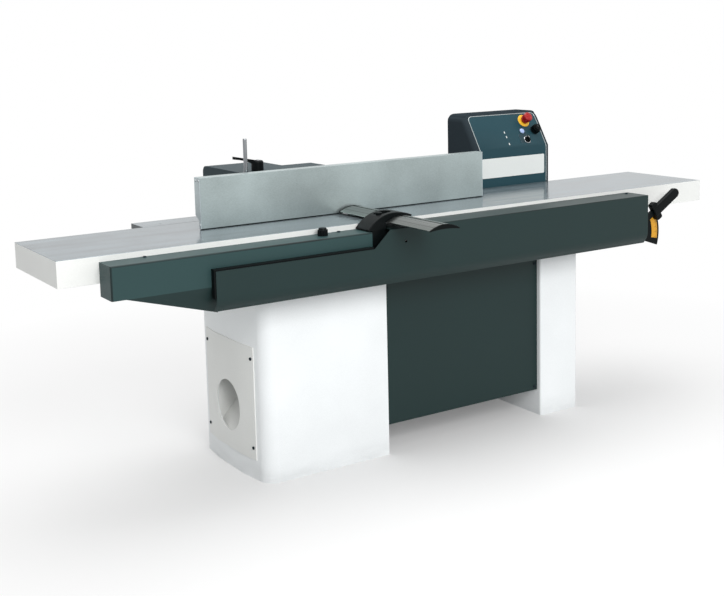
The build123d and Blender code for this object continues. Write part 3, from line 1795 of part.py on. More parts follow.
def front_form():
    """The folded front plate before its holes, rounded at its upper corners."""
    with BuildPart() as form:
        with BuildSketch(across(front_x[0])):
            add(front_section())
        extrude(amount=front_x[1] - front_x[0])
        upright = form.edges().filter_by(lambda edge: abs(edge.length - front_plate) < front_plate / 100)
        fillet(upright.group_by(Axis.Z)[-1], front_corner)
    return form.part


with BuildPart() as control_housing:
    with BuildSketch(across(box_left)):
        with BuildLine():
            Polyline(
                (box_front, bed_top),
                (box_front, fold_z),
                (box_front + box_lean, box_top_z),
                (box_back, box_top_z),
                (box_back, bed_top),
                close=True,
            )
        make_face()
    extrude(amount=box_width)
    upper = control_housing.edges().filter_by(Axis.X).group_by(Axis.Z)[-1].sort_by(Axis.Y)[-1]
    fillet(upper, box_back_edge)
    ends = control_housing.faces().sort_by(Axis.X)
    sides = ends[0].edges() + ends[-1].edges()
    fillet([edge for edge in sides if edge.center().Z > front_low], box_side_edge)
    add(front_form(), mode=Mode.SUBTRACT)
    ledge = front_margin / 2
    with BuildSketch(across(front_x[0] + ledge)):
        cavity_top = on_front(front_high - ledge, front_plate)
        with BuildLine():
            Polyline(
                (box_front + front_plate, front_low + ledge),
                (box_front + front_plate, fold_z - front_plate * fold_shift),
                cavity_top,
                (box_back - ledge, cavity_top[1]),
                (box_back - ledge, front_low + ledge),
                close=True,
            )
        make_face()
    extrude(amount=front_x[1] - front_x[0] - 2 * ledge, mode=Mode.SUBTRACT)
control_housing.part.label = "control_housing"
export_step(control_housing.part, "parts/control_housing.step")

with BuildPart() as control_panel:
    add(front_form())
    with BuildSketch(lean_face):
        with Locations((stop_x, stop_up)):
            Circle(stop_stem_radius + control_clearance)
        with Locations((push_x, push_up)):
            Circle(push_radius + control_clearance)
        with Locations((selector_x, selector_up), (rotary_x, rotary_up)):
            Circle(control_shaft_radius + control_clearance)
    extrude(amount=-2 * front_plate, mode=Mode.SUBTRACT)
control_panel.part.label = "control_panel"
export_step(control_panel.part, "parts/control_panel.step")

with BuildPart() as bare_plate:
    with BuildSketch(facing(box_front)):
        with Locations(
            (
                front_x[0] + bare_plate_inset + bare_plate_width / 2,
                table_top + bare_plate_above_table + bare_plate_height / 2,
            )
        ):
            RectangleRounded(bare_plate_width, bare_plate_height, screw_head_radius)
    extrude(amount=bare_plate_sheet)
bare_plate.part.label = "bare_plate"
export_step(bare_plate.part, "parts/bare_plate.step")

with BuildPart() as stop_collar:
    with BuildSketch(lean_face):
        with Locations((stop_x, stop_up)):
            Circle(stop_collar_radius)
    extrude(amount=stop_collar_height, taper=10)
    with BuildSketch(lean_face):
        with Locations((stop_x, stop_up)):
            Circle(stop_stem_radius + control_clearance)
    extrude(amount=stop_collar_height, mode=Mode.SUBTRACT)
stop_collar.part.label = "stop_collar"
export_step(stop_collar.part, "parts/stop_collar.step")

with BuildPart() as switch_plate:
    with BuildSketch(lean_face):
        with Locations((rotary_x - rotary_plate_shift, rotary_up + rotary_plate_lift)):
            RectangleRounded(rotary_plate_width, rotary_plate_height, screw_radius)
        with Locations((rotary_x, rotary_up)):
            Circle(control_shaft_radius + control_clearance, mode=Mode.SUBTRACT)
    extrude(amount=rotary_plate)
switch_plate.part.label = "switch_plate"
export_step(switch_plate.part, "parts/switch_plate.step")


def control_spot(x, up):
    """A plane on the leaning face centred on one control."""
    return Plane(origin=lean_face.from_local_coords((x, up, 0)), x_dir=(1, 0, 0), z_dir=lean_face.z_dir)


def stepped_button(spot, steps):
    """A turned button made of discs, each given by radius, start and end along the button."""
    with BuildPart() as button:
        for radius, start, end in steps:
            with BuildSketch(spot.offset(start)):
                Circle(radius)
            extrude(amount=end - start)
        crown = [edge for edge in button.edges() if abs(spot.to_local_coords(edge.center()).Z - end) < 0.01]
        fillet(crown, (end - start) / 4)
    return button


stop_button = stepped_button(
    control_spot(stop_x, stop_up),
    (
        (stop_stem_radius, -control_shaft_depth, stop_stand),
        (stop_head_radius, stop_stand, stop_stand + stop_head),
    ),
)
stop_button.part.label = "stop_button"
export_step(stop_button.part, "parts/stop_button.step")

push_button = stepped_button(
    control_spot(push_x, push_up),
    ((push_radius, -control_shaft_depth, push_stand),),
)
push_button.part.label = "push_button"
export_step(push_button.part, "parts/push_button.step")

selector_knob = grip_knob(
    control_spot(selector_x, selector_up),
    selector_radius,
    selector_height,
    selector_grips,
    (control_shaft_radius, control_shaft_depth),
)
selector_knob.part.label = "selector_knob"
export_step(selector_knob.part, "parts/selector_knob.step")

with BuildPart() as rotary_switch:
    spot = control_spot(rotary_x, rotary_up)
    with BuildSketch(spot.offset(-control_shaft_depth)):
        Circle(control_shaft_radius)
    extrude(amount=control_shaft_depth + rotary_plate + knob_gap)
    with BuildSketch(spot.offset(rotary_plate + knob_gap)):
        Circle(rotary_radius)
    extrude(amount=rotary_height / 3)
    with BuildSketch(spot.offset(rotary_plate + knob_gap)):
        SlotOverall(1.8 * rotary_radius, rotary_radius / 2, rotation=90)
    extrude(amount=rotary_height)
rotary_switch.part.label = "rotary_switch"
export_step(rotary_switch.part, "parts/rotary_switch.step")
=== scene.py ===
"""Surface planer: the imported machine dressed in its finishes, softened edges and fine trim.

Meshes are in metres in the machine's own frame: +X towards the infeed end, +Y away from
the operator, +Z up. Sizes and places that are written as fields are in millimetres and
angles in degrees, unless their description says otherwise. Outlines of turned details are
pairs of radius and height.
"""

import json
import logging
import math
from collections.abc import Sequence
from dataclasses import dataclass
from enum import Enum
from functools import cache

import bmesh
import bpy
from mathutils import Matrix, Vector

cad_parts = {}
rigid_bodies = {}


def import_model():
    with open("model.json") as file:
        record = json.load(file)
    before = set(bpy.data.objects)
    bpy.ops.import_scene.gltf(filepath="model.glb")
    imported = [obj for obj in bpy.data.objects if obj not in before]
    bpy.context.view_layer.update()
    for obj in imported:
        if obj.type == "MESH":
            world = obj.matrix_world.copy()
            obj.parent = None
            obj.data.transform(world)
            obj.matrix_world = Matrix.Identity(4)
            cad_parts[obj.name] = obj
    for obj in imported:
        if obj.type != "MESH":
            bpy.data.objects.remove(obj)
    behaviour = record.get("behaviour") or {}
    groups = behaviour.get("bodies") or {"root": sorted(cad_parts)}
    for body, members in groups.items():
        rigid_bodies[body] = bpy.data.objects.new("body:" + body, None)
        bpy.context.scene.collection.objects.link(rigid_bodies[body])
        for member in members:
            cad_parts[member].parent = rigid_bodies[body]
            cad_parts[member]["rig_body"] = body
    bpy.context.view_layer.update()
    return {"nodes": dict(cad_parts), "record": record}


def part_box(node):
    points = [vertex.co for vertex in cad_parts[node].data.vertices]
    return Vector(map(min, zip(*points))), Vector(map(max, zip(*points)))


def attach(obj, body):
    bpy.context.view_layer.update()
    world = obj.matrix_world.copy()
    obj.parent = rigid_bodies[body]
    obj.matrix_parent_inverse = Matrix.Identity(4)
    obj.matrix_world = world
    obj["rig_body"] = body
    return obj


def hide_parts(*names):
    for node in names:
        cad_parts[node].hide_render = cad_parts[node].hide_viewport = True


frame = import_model()
log = logging.getLogger("surface_planer")

Pair = tuple[float, float]
Point = tuple[float, float, float]
Colour = tuple[float, float, float]
Outline = Sequence[Pair]
Socket = bpy.types.NodeSocket
Shape = bmesh.types.BMesh
Mesh = bpy.types.Mesh
Piece = bpy.types.Object

MM = 0.001
FRONTWARD: Point = (0.0, -1.0, 0.0)
FULL_WHITE = (1.0, 1.0, 1.0, 1.0)
FULL_BLACK = (0.0, 0.0, 0.0, 1.0)

# The face attribute that marks softened edges, and the span that most of a noise lies in
EDGE_MARK = "edge"
NOISE_SPAN = (0.3, 0.7)
# Shares of the slow clouds and the broad streaks in a tone, and the streaks' stretch
CLOUD_SHARE = 0.55
STREAK_SHARE = 0.5
STREAK_STRETCH = 0.05
# The grooves' distance over half a groove's width, the painted shade in a groove, and its depth in
# grains
GROOVE_PARTS = 12.0
GROOVE_PAINTED_SHADE = -0.7
GROOVE_DEPTH = 6.0
# How far scuffed paint goes over to its shade, that shade, and the scuffs' cells per metre
SCUFF_MOST = 0.35
SCUFF_SHADE = -0.22
SCUFF_GRAIN = 26.0
SCUFF_STRETCH = (0.3, 0.3, 1.0)
# The least and the most that a softened edge takes on of its edge tone, which is partly wear and
# painted highlight where lighter, and painted shade where darker
EDGE_SPREAD = (0.35, 0.85)
LEAST_ROUGHNESS = 0.02
COAT_ROUGHNESS = 0.12
# Points nearer than this are merged, and edges flatter than this are dissolved
MERGE = 0.01
FLAT = 0.6
# Points nearer than this to a corner's cut lie on it
ON_CUT = 0.001
# Folds are rounded above this angle, where one of their faces looks to the front
STEEP = 60.0
FACING_FRONT = 0.9
# A face looks up or down from this part of its normal
FACING_UP = 0.3
# Outline points nearer to the axis than this lie on it
ON_AXIS = 0.01


def linear(colour: Colour) -> tuple[float, float, float, float]:
    """Turn a colour as it looks on screen into the shader's linear values.

    Args:
        colour: Red, green and blue from 0 to 1 as seen on screen.

    Returns:
        The linear red, green, blue and an alpha of 1.
    """
    parts = [c / 12.92 if c <= 0.04045 else ((c + 0.055) / 1.055) ** 2.4 for c in colour]
    return (parts[0], parts[1], parts[2], 1.0)


def shaded(colour: Colour, share: float) -> Colour:
    """Return the colour made lighter or darker by a share of itself."""
    return tuple(min(1.0, max(0.0, c * (1.0 + share))) for c in colour)


class Making(Enum):
    """How a surface was made, which decides its fine pattern."""

    POWDER_COAT = "powder coat"
    GROUND = "ground along its length"
    BRUSHED = "brushed"
    ANODISED = "drawn and anodised"
    MOULDED = "moulded"
    POLISHED = "polished"
    CAST = "cast"
    RUBBER = "rubber"
    DRAWN_WITH_PAINTED_REFLECTIONS = "drawn and polished"


class Axis(Enum):
    """The axis that a grain or a row of grooves runs along."""

    X = 0
    Y = 1
    Z = 2


class Facing(Enum):
    """The way that screw heads face, as the turn about X, Y and Z from facing up."""

    UP = (0.0, 0.0, 0.0)
    LEFT = (0.0, -90.0, 0.0)
    RIGHT = (0.0, 90.0, 0.0)
    BACK = (-90.0, 0.0, 0.0)


@dataclass(frozen=True)
class Pattern:
    """The fine pattern that one way of making leaves on a surface.

    Attributes:
        grain: Cells per metre of the fine grain.
        stretch: The grain's frequency along its run as a share of that across it.
        cloud: Cells per metre of the slow change of tone.
        contrast: Share by which the colour goes up and down.
        gloss: How far the roughness goes up and down.
        relief: Depth of the grain.
        push: Strength of the grain's bump.
        streak: Cells per metre of broad streaks along the run, or 0 for none.
    """

    grain: float
    stretch: float
    cloud: float
    contrast: float
    gloss: float
    relief: float
    push: float
    streak: float = 0.0


PATTERNS: dict[Making, Pattern] = {
    Making.POWDER_COAT: Pattern(520.0, 1.0, 2.6, 0.035, 0.05, 0.05, 0.16),
    Making.GROUND: Pattern(420.0, 0.012, 9.0, 0.21, 0.08, 0.02, 0.07, 22.0),
    Making.BRUSHED: Pattern(700.0, 0.01, 3.2, 0.05, 0.06, 0.02, 0.10, 60.0),
    Making.ANODISED: Pattern(640.0, 0.25, 5.0, 0.10, 0.05, 0.01, 0.05),
    Making.MOULDED: Pattern(900.0, 1.0, 14.0, 0.10, 0.08, 0.08, 0.25),
    Making.POLISHED: Pattern(300.0, 0.2, 20.0, 0.03, 0.03, 0.005, 0.04),
    Making.CAST: Pattern(260.0, 1.0, 9.0, 0.12, 0.10, 0.25, 0.35),
    # Strong lengthwise streaks: partly drawn lines, partly painted reflection bands of bright and
    # dark
    Making.DRAWN_WITH_PAINTED_REFLECTIONS: Pattern(500.0, 0.01, 3.0, 0.55, 0.04, 0.005, 0.04, 210.0),
    Making.RUBBER: Pattern(600.0, 1.0, 12.0, 0.15, 0.08, 0.10, 0.30),
}


class Nodes:
    """A node tree that is built with short calls."""

    def __init__(self, tree: bpy.types.NodeTree) -> None:
        """Take the tree to build in."""
        self.tree = tree

    def node(self, kind: str, links: dict | None = None, **settings: object) -> bpy.types.Node:
        """Add a node.

        Args:
            kind: The node's type name.
            links: Values or sockets for its inputs, by name or number.
            settings: Properties of the node itself.

        Returns:
            The new node.
        """
        made = self.tree.nodes.new(kind)
        for key, value in settings.items():
            setattr(made, key, value)
        for key, value in (links or {}).items():
            if isinstance(value, Socket):
                self.tree.links.new(value, made.inputs[key])
            else:
                made.inputs[key].default_value = value
        return made

    def out(self, kind: str, links: dict | None = None, **settings: object) -> Socket:
        """Add a node and return its first output."""
        return self.node(kind, links, **settings).outputs[0]

    def math(self, how: str, first: object, second: object = 0.0) -> Socket:
        """Return two values joined by a sum, product or other operation."""
        return self.out("ShaderNodeMath", {0: first, 1: second}, operation=how)


class Shaders(Nodes):
    """The node tree of a material or of the world."""

    def between(self, value: object, start: float, end: float, low: float, high: float) -> Socket:
        """Return a value mapped from one span to another and kept inside it."""
        links = {"Value": value, "From Min": start, "From Max": end, "To Min": low, "To Max": high}
        return self.out("ShaderNodeMapRange", links)

    def seen(self) -> Socket:
        """Return 1 for rays that show the surroundings and 0 for rays that gather light.

        Returns:
            The greatest of the camera, glossy and transmission rays' tests.
        """
        path = self.node("ShaderNodeLightPath").outputs
        direct = self.math("MAXIMUM", path["Is Camera Ray"], path["Is Glossy Ray"])
        return self.math("MAXIMUM", direct, path["Is Transmission Ray"])


class Graph(Shaders):
    """The node tree of a material with the common shader."""

    def __init__(self, name: str) -> None:
        """Start an empty material.

        Args:
            name: The material's name.
        """
        self.material = bpy.data.materials.new(name)
        self.material.use_nodes = True
        super().__init__(self.material.node_tree)
        self.shader = self.tree.nodes["Principled BSDF"]
        self.coords = self.node("ShaderNodeTexCoord").outputs["Object"]

    def noise(self, scale: float, detail: float, stretch: Point = (1.0, 1.0, 1.0)) -> Socket:
        """Return a noise over the piece.

        Args:
            scale: Its cells per metre.
            detail: How many finer layers it has.
            stretch: Shares of the scale along X, Y and Z.

        Returns:
            The noise's value.
        """
        place = self.out("ShaderNodeMapping", {"Vector": self.coords, "Scale": stretch})
        links = {"Vector": place, "Scale": scale, "Detail": detail}
        return self.node("ShaderNodeTexNoise", links).outputs["Fac"]

    def along(self, axis: Axis) -> Socket:
        """Return the place along an axis in metres."""
        return self.node("ShaderNodeSeparateXYZ", {0: self.coords}).outputs[axis.value]

    def spread(self, value: Socket, low: float, high: float) -> Socket:
        """Return the noise's usual span mapped to lie between two values."""
        return self.between(value, *NOISE_SPAN, low, high)

    def blend(self, first: object, second: object, share: float) -> Socket:
        """Return two values added, the second with a share and the first with the rest."""
        kept = self.math("MULTIPLY", first, 1.0 - share)
        return self.math("ADD", kept, self.math("MULTIPLY", second, share))

    def ramp(self, value: Socket, colour: Colour, contrast: float) -> Socket:
        """Return a colour that goes down and up by a share with a noise.

        Args:
            value: The noise.
            colour: The middle colour as it looks on screen.
            contrast: The share.

        Returns:
            The varied colour.
        """
        made = self.node("ShaderNodeValToRGB", {"Fac": value})
        shares = (-contrast, contrast)
        for stop, place, share in zip(made.color_ramp.elements, NOISE_SPAN, shares):
            stop.position = place
            stop.color = linear(shaded(colour, share))
        return made.outputs["Color"]

    def mix(self, share: object, first: object, second: object) -> Socket:
        """Return two colours mixed by a share."""
        links = {0: share, 6: first, 7: second}
        return self.node("ShaderNodeMix", links, data_type="RGBA").outputs[2]

    def feed(self, value: Socket, socket: str) -> None:
        """Lead a value into the shader."""
        self.tree.links.new(value, self.shader.inputs[socket])

    def fix(self, values: dict[str, object]) -> None:
        """Set values that are the same all over on the shader's own sockets."""
        for socket, value in values.items():
            self.shader.inputs[socket].default_value = value


@dataclass(frozen=True)
class Finish:
    """One finish of the machine: colour, gloss and how the surface was made.

    Attributes:
        name: The material's name.
        colour: The colour as it looks on screen.
        making: How the surface was made.
        roughness: The middle roughness.
        metallic: 1 for bare metal, 0 for paint and plastic.
        coat: Weight of a clear top layer.
        specular: How strongly a bare surface mirrors, 0.5 for common paint.
        glance: Share of the light that metal mirrors at a glancing angle.
        edge: Share by which softened edges are lighter, partly as wear and partly as a painted
            highlight, or darker below 0 as painted shade.
        along: The axis along which a grain or groove runs.
        groove: Distance between grooves, which are darkened with painted shade, or 0 for none.
        groove_across: The axis across which the grooves follow each other.
        scuff: Height below which the paint is scuffed, or 0 for none.
    """

    name: str
    colour: Colour
    making: Making
    roughness: float
    metallic: float = 0.0
    coat: float = 0.0
    specular: float = 0.5
    glance: float = 1.0
    edge: float = 0.10
    along: Axis = Axis.X
    groove: float = 0.0
    groove_across: Axis = Axis.X
    scuff: float = 0.0

    def stretch(self, share: float) -> Point:
        """Return a share of the frequency along this finish's run, and the whole across it."""
        return tuple(share if axis is self.along else 1.0 for axis in Axis)

    def shade(self, share: float) -> tuple[float, float, float, float]:
        """Return this finish's colour, lighter or darker by a share, in linear values."""
        return linear(shaded(self.colour, share))

    def material(self) -> bpy.types.Material:
        """Return the node material of this finish, made once."""
        return finished(self)


@cache
def finished(finish: Finish) -> bpy.types.Material:
    """Build the node material of a finish.

    Args:
        finish: The finish to build.

    Returns:
        The material, with tone, gloss, relief and wear from its nodes.
    """
    pattern = PATTERNS[finish.making]
    graph = Graph(finish.name)
    grain = graph.noise(pattern.grain, detail=4.0, stretch=finish.stretch(pattern.stretch))
    cloud = graph.noise(pattern.cloud, detail=3.0)
    tone = graph.blend(grain, cloud, CLOUD_SHARE)
    if pattern.streak:
        run = finish.stretch(STREAK_STRETCH)
        streaks = graph.noise(pattern.streak, detail=3.0, stretch=run)
        tone = graph.blend(tone, streaks, STREAK_SHARE)
    body = graph.ramp(tone, finish.colour, pattern.contrast)
    relief = grain
    if finish.groove:
        apart = finish.groove * MM
        place = graph.math("PINGPONG", graph.along(finish.groove_across), apart / 2.0)
        line = graph.between(place, 0.0, apart / GROOVE_PARTS, 1.0, 0.0)
        # Each groove is darkened as painted shade, besides its bump
        body = graph.mix(line, body, finish.shade(GROOVE_PAINTED_SHADE))
        relief = graph.math("SUBTRACT", grain, graph.math("MULTIPLY", line, GROOVE_DEPTH))
    if finish.scuff:
        low = graph.between(graph.along(Axis.Z), 0.0, finish.scuff * MM, SCUFF_MOST, 0.0)
        rubs = graph.noise(SCUFF_GRAIN, detail=6.0, stretch=SCUFF_STRETCH)
        share = graph.math("MULTIPLY", low, graph.spread(rubs, 0.0, 1.0))
        body = graph.mix(share, body, finish.shade(SCUFF_SHADE))
    # Softened edges go over to the edge tone: wear and painted highlights where it is lighter,
    # painted shade where it is darker
    rim = graph.node("ShaderNodeAttribute", attribute_name=EDGE_MARK).outputs["Fac"]
    edge_wear_and_painted_light = graph.math("MULTIPLY", rim, graph.spread(cloud, *EDGE_SPREAD))
    graph.feed(graph.mix(edge_wear_and_painted_light, body, finish.shade(finish.edge)), "Base Color")
    smoothest = max(LEAST_ROUGHNESS, finish.roughness - pattern.gloss)
    graph.feed(graph.spread(tone, smoothest, finish.roughness + pattern.gloss), "Roughness")
    links = {"Height": relief, "Strength": pattern.push, "Distance": pattern.relief * MM}
    graph.feed(graph.node("ShaderNodeBump", links).outputs["Normal"], "Normal")
    graph.fix({
        "Metallic": finish.metallic,
        "Coat Weight": finish.coat,
        "Coat Roughness": COAT_ROUGHNESS,
        "Specular IOR Level": finish.specular,
        "Specular Tint": (finish.glance,) * 3 + (1.0,),
    })
    return graph.material


def paint(name: str, colour: Colour, roughness: float, **rest: float) -> Finish:
    """Return a powder-coated finish."""
    return Finish(name, colour, Making.POWDER_COAT, roughness, **rest)


WHITE = paint("white_powder_coat", (0.915, 0.918, 0.908), 0.42, edge=0.04)
BASE_WHITE = paint("white_base_powder_coat", (0.945, 0.955, 0.96), 0.42, edge=0.04, scuff=70.0)
# The cover's softened edges and rounded folds go fully dark: a painted shade line along the bends
TEAL = paint("dark_teal_powder_coat", (0.160, 0.258, 0.260), 0.46, specular=0.25, edge=-1.0)
# A darker copy of the teal, also used on the panels and the belt cover; on the main cover and on
# downward faces it is painted shade, and its darkened edges are painted shade too
DARKER_TEAL_AND_SHADE = paint("darker_teal_and_painted_shade_powder_coat", (0.100, 0.176, 0.174), 0.46, specular=0.25, edge=-0.6)
# The hood's softened edges are darkened: painted shade
HOOD_PAINT = paint("hood_slate_powder_coat", (0.150, 0.215, 0.235), 0.5, specular=0.1, edge=-0.4)
PANEL_TEAL = paint("control_panel_teal", (0.120, 0.250, 0.285), 0.40, specular=0.2, edge=0.3)
# Dark paint on the bed and the inner parts, so the inside seen through the gaps between the covers
# reads as shade: painted shade
BED_PAINT_AND_SHADE = paint("bed_dark_paint_and_painted_shade", (0.14, 0.17, 0.18), 0.5, specular=0.2)
FAN_PAINT = paint("fan_cover_paint", (0.22, 0.26, 0.29), 0.45)
# The housing's softened edges are darkened into dark bands: painted shade
BLACK_PAINT = paint("black_satin_paint", (0.190, 0.222, 0.242), 0.55, specular=0.0, edge=-0.8)
PLATE_WHITE = paint("bare_white_plate", (0.87, 0.88, 0.87), 0.5)
AMBER = paint("amber_scale_plate", (0.85, 0.61, 0.10), 0.45)
MOTOR_PAINT = Finish("motor_blue_grey_paint", (0.28, 0.33, 0.36), Making.CAST, 0.5)
CAST_GREY = Finish("saddle_cast_grey", (0.34, 0.36, 0.37), Making.CAST, 0.55)
GROUND_IRON = Finish(
    "ground_table_iron", (0.50, 0.54, 0.56), Making.GROUND, 0.16,
    metallic=0.55, edge=0.2, glance=0.8,
)
STEEL = Finish(
    "bright_turned_steel", (0.66, 0.67, 0.68), Making.BRUSHED, 0.28, metallic=1.0, along=Axis.Y
)
PULLEY_IRON = Finish("turned_pulley_iron", (0.36, 0.36, 0.37), Making.CAST, 0.42, metallic=1.0)
# The fence's softened edges are slightly darkened: painted shade
FENCE_METAL = Finish(
    "anodised_fence_aluminium", (0.65, 0.695, 0.695), Making.ANODISED, 0.40,
    metallic=1.0, edge=-0.05,
)
# The blade's softened edges are lightened as a painted highlight, and its grooves are darkened as
# painted shade
BLADE_METAL = Finish(
    "grooved_blade_aluminium", (0.43, 0.45, 0.44), Making.BRUSHED, 0.30,
    metallic=1.0, edge=0.9, along=Axis.Y, groove=19.3,
)
CAP_METAL = Finish("fence_cap_aluminium", (0.70, 0.74, 0.75), Making.CAST, 0.45, metallic=0.6)
CHROME = Finish(
    "polished_chrome", (0.82, 0.83, 0.84), Making.POLISHED, 0.08, metallic=1.0, along=Axis.Z
)
# The rod's streaks are partly drawn lines and partly painted reflection bands, and its softened
# edges are darkened as painted shade
ROD_STEEL = Finish(
    "drawn_rod_steel", (0.46, 0.47, 0.48), Making.DRAWN_WITH_PAINTED_REFLECTIONS, 0.15,
    metallic=1.0, edge=-0.3, along=Axis.Z,
)
TRIM = Finish("silver_panel_trim", (0.70, 0.73, 0.73), Making.POLISHED, 0.28, metallic=0.7)
# Softened edges in this finish are lightened strongly: painted glints
PLATE_STEEL = Finish(
    "switch_plate_steel", (0.20, 0.28, 0.31), Making.BRUSHED, 0.32, metallic=0.8, edge=1.4
)
# Softened edges of the black plastic are lightened, partly as wear and partly as painted
# highlights
BLACK_PLASTIC = Finish(
    "black_moulded_plastic", (0.035, 0.052, 0.055), Making.MOULDED, 0.40, specular=0.08, edge=0.8
)
YELLOW = Finish("stop_collar_yellow", (0.90, 0.70, 0.18), Making.MOULDED, 0.42)
RED = Finish("stop_button_red", (0.60, 0.05, 0.06), Making.MOULDED, 0.34, specular=0.3, coat=0.1)
PALE = Finish("pale_button_lens", (0.62, 0.70, 0.86), Making.MOULDED, 0.35, coat=0.2)
INK = Finish("black_scale_print", (0.10, 0.10, 0.10), Making.MOULDED, 0.55)
BELT = Finish("drive_belt_rubber", (0.09, 0.09, 0.09), Making.RUBBER, 0.7)


def loose_object(name: str, data: bpy.types.ID) -> Piece:
    """Put data into the scene as an object at the origin.

    Args:
        name: The object's name.
        data: Its mesh, curve, lamp or camera.

    Returns:
        The object.
    """
    made = bpy.data.objects.new(name, data)
    bpy.context.scene.collection.objects.link(made)
    return made


def baked(worker: Piece, name: str) -> Mesh:
    """Turn an object with its modifiers into a plain mesh and remove the object.

    Args:
        worker: The object to evaluate.
        name: The new mesh's name.

    Returns:
        The evaluated mesh.
    """
    graph = bpy.context.evaluated_depsgraph_get()
    mesh = bpy.data.meshes.new_from_object(
        worker.evaluated_get(graph), preserve_all_data_layers=True, depsgraph=graph
    )
    mesh.name = name
    bpy.data.objects.remove(worker)
    return mesh


def box_of(node: str) -> tuple[Vector, Vector]:
    """Return a CAD node's lowest and highest corners in millimetres."""
    low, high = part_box(node)
    return low / MM, high / MM


def width_of(face: bmesh.types.BMFace) -> float:
    """Return a long face's mean width: its area over its longest edge."""
    return face.calc_area() / max(edge.calc_length() for edge in face.edges)


@dataclass(frozen=True)
class Shading:
    """Where a mesh shades smooth and where it keeps a crease.

    Attributes:
        sharp: Edges sharper than this are creases.
        fold: Edges between two broad faces are creases above this angle.
        broad: Width from which a face counts as broad.
        weight: How strongly large faces hold the normals, from 1 to 100.
    """

    sharp: float = 50.0
    fold: float = 2.5
    broad: float = 15.0
    weight: int = 80

    def mark(self, shape: Shape) -> None:
        """Mark the creases of a shape and make all its faces smooth.

        Args:
            shape: The shape to mark.
        """
        wide = {}
        for face in shape.faces:
            face.smooth = True
            wide[face] = width_of(face) > self.broad * MM
        for edge in shape.edges:
            angle = math.degrees(edge.calc_face_angle(math.pi))
            folded = angle > self.fold and all(wide[face] for face in edge.link_faces)
            edge.smooth = angle < self.sharp and not folded

    def mesh(self, shape: Shape, name: str, *finishes: Finish) -> Mesh:
        """Turn a shape into a shaded mesh and free it.

        Args:
            shape: The shape, in place.
            name: The mesh's name.
            finishes: The finishes of its material slots.

        Returns:
            A mesh with normals weighted by its faces.
        """
        self.mark(shape)
        mesh = bpy.data.meshes.new("unshaded")
        shape.to_mesh(mesh)
        shape.free()
        for finish in finishes:
            mesh.materials.append(finish.material())
        worker = loose_object("shading", mesh)
        weigh = worker.modifiers.new("weigh", "WEIGHTED_NORMAL")
        weigh.keep_sharp = True
        weigh.weight = self.weight
        return baked(worker, name)


def slot_of(node: str) -> str:
    """Return the record's material slot of a CAD node."""
    parts = frame["record"]["subparts"]
    return next(part["material_slot"] for part in parts if part["node"] == node)


def as_piece(mesh: Mesh, body: str, slot: str, *replaced: str) -> Piece:
    """Make a mesh a piece of the machine, with the mesh's name.

    Args:
        mesh: The mesh, in place.
        body: The body that it rides on.
        slot: The record's material slot; not used.
        replaced: The CAD nodes that it stands for, if any.

    Returns:
        The piece.
    """
    piece = loose_object(mesh.name, mesh)
    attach(piece, body)
    for node in replaced:
        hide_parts(node)
    return piece


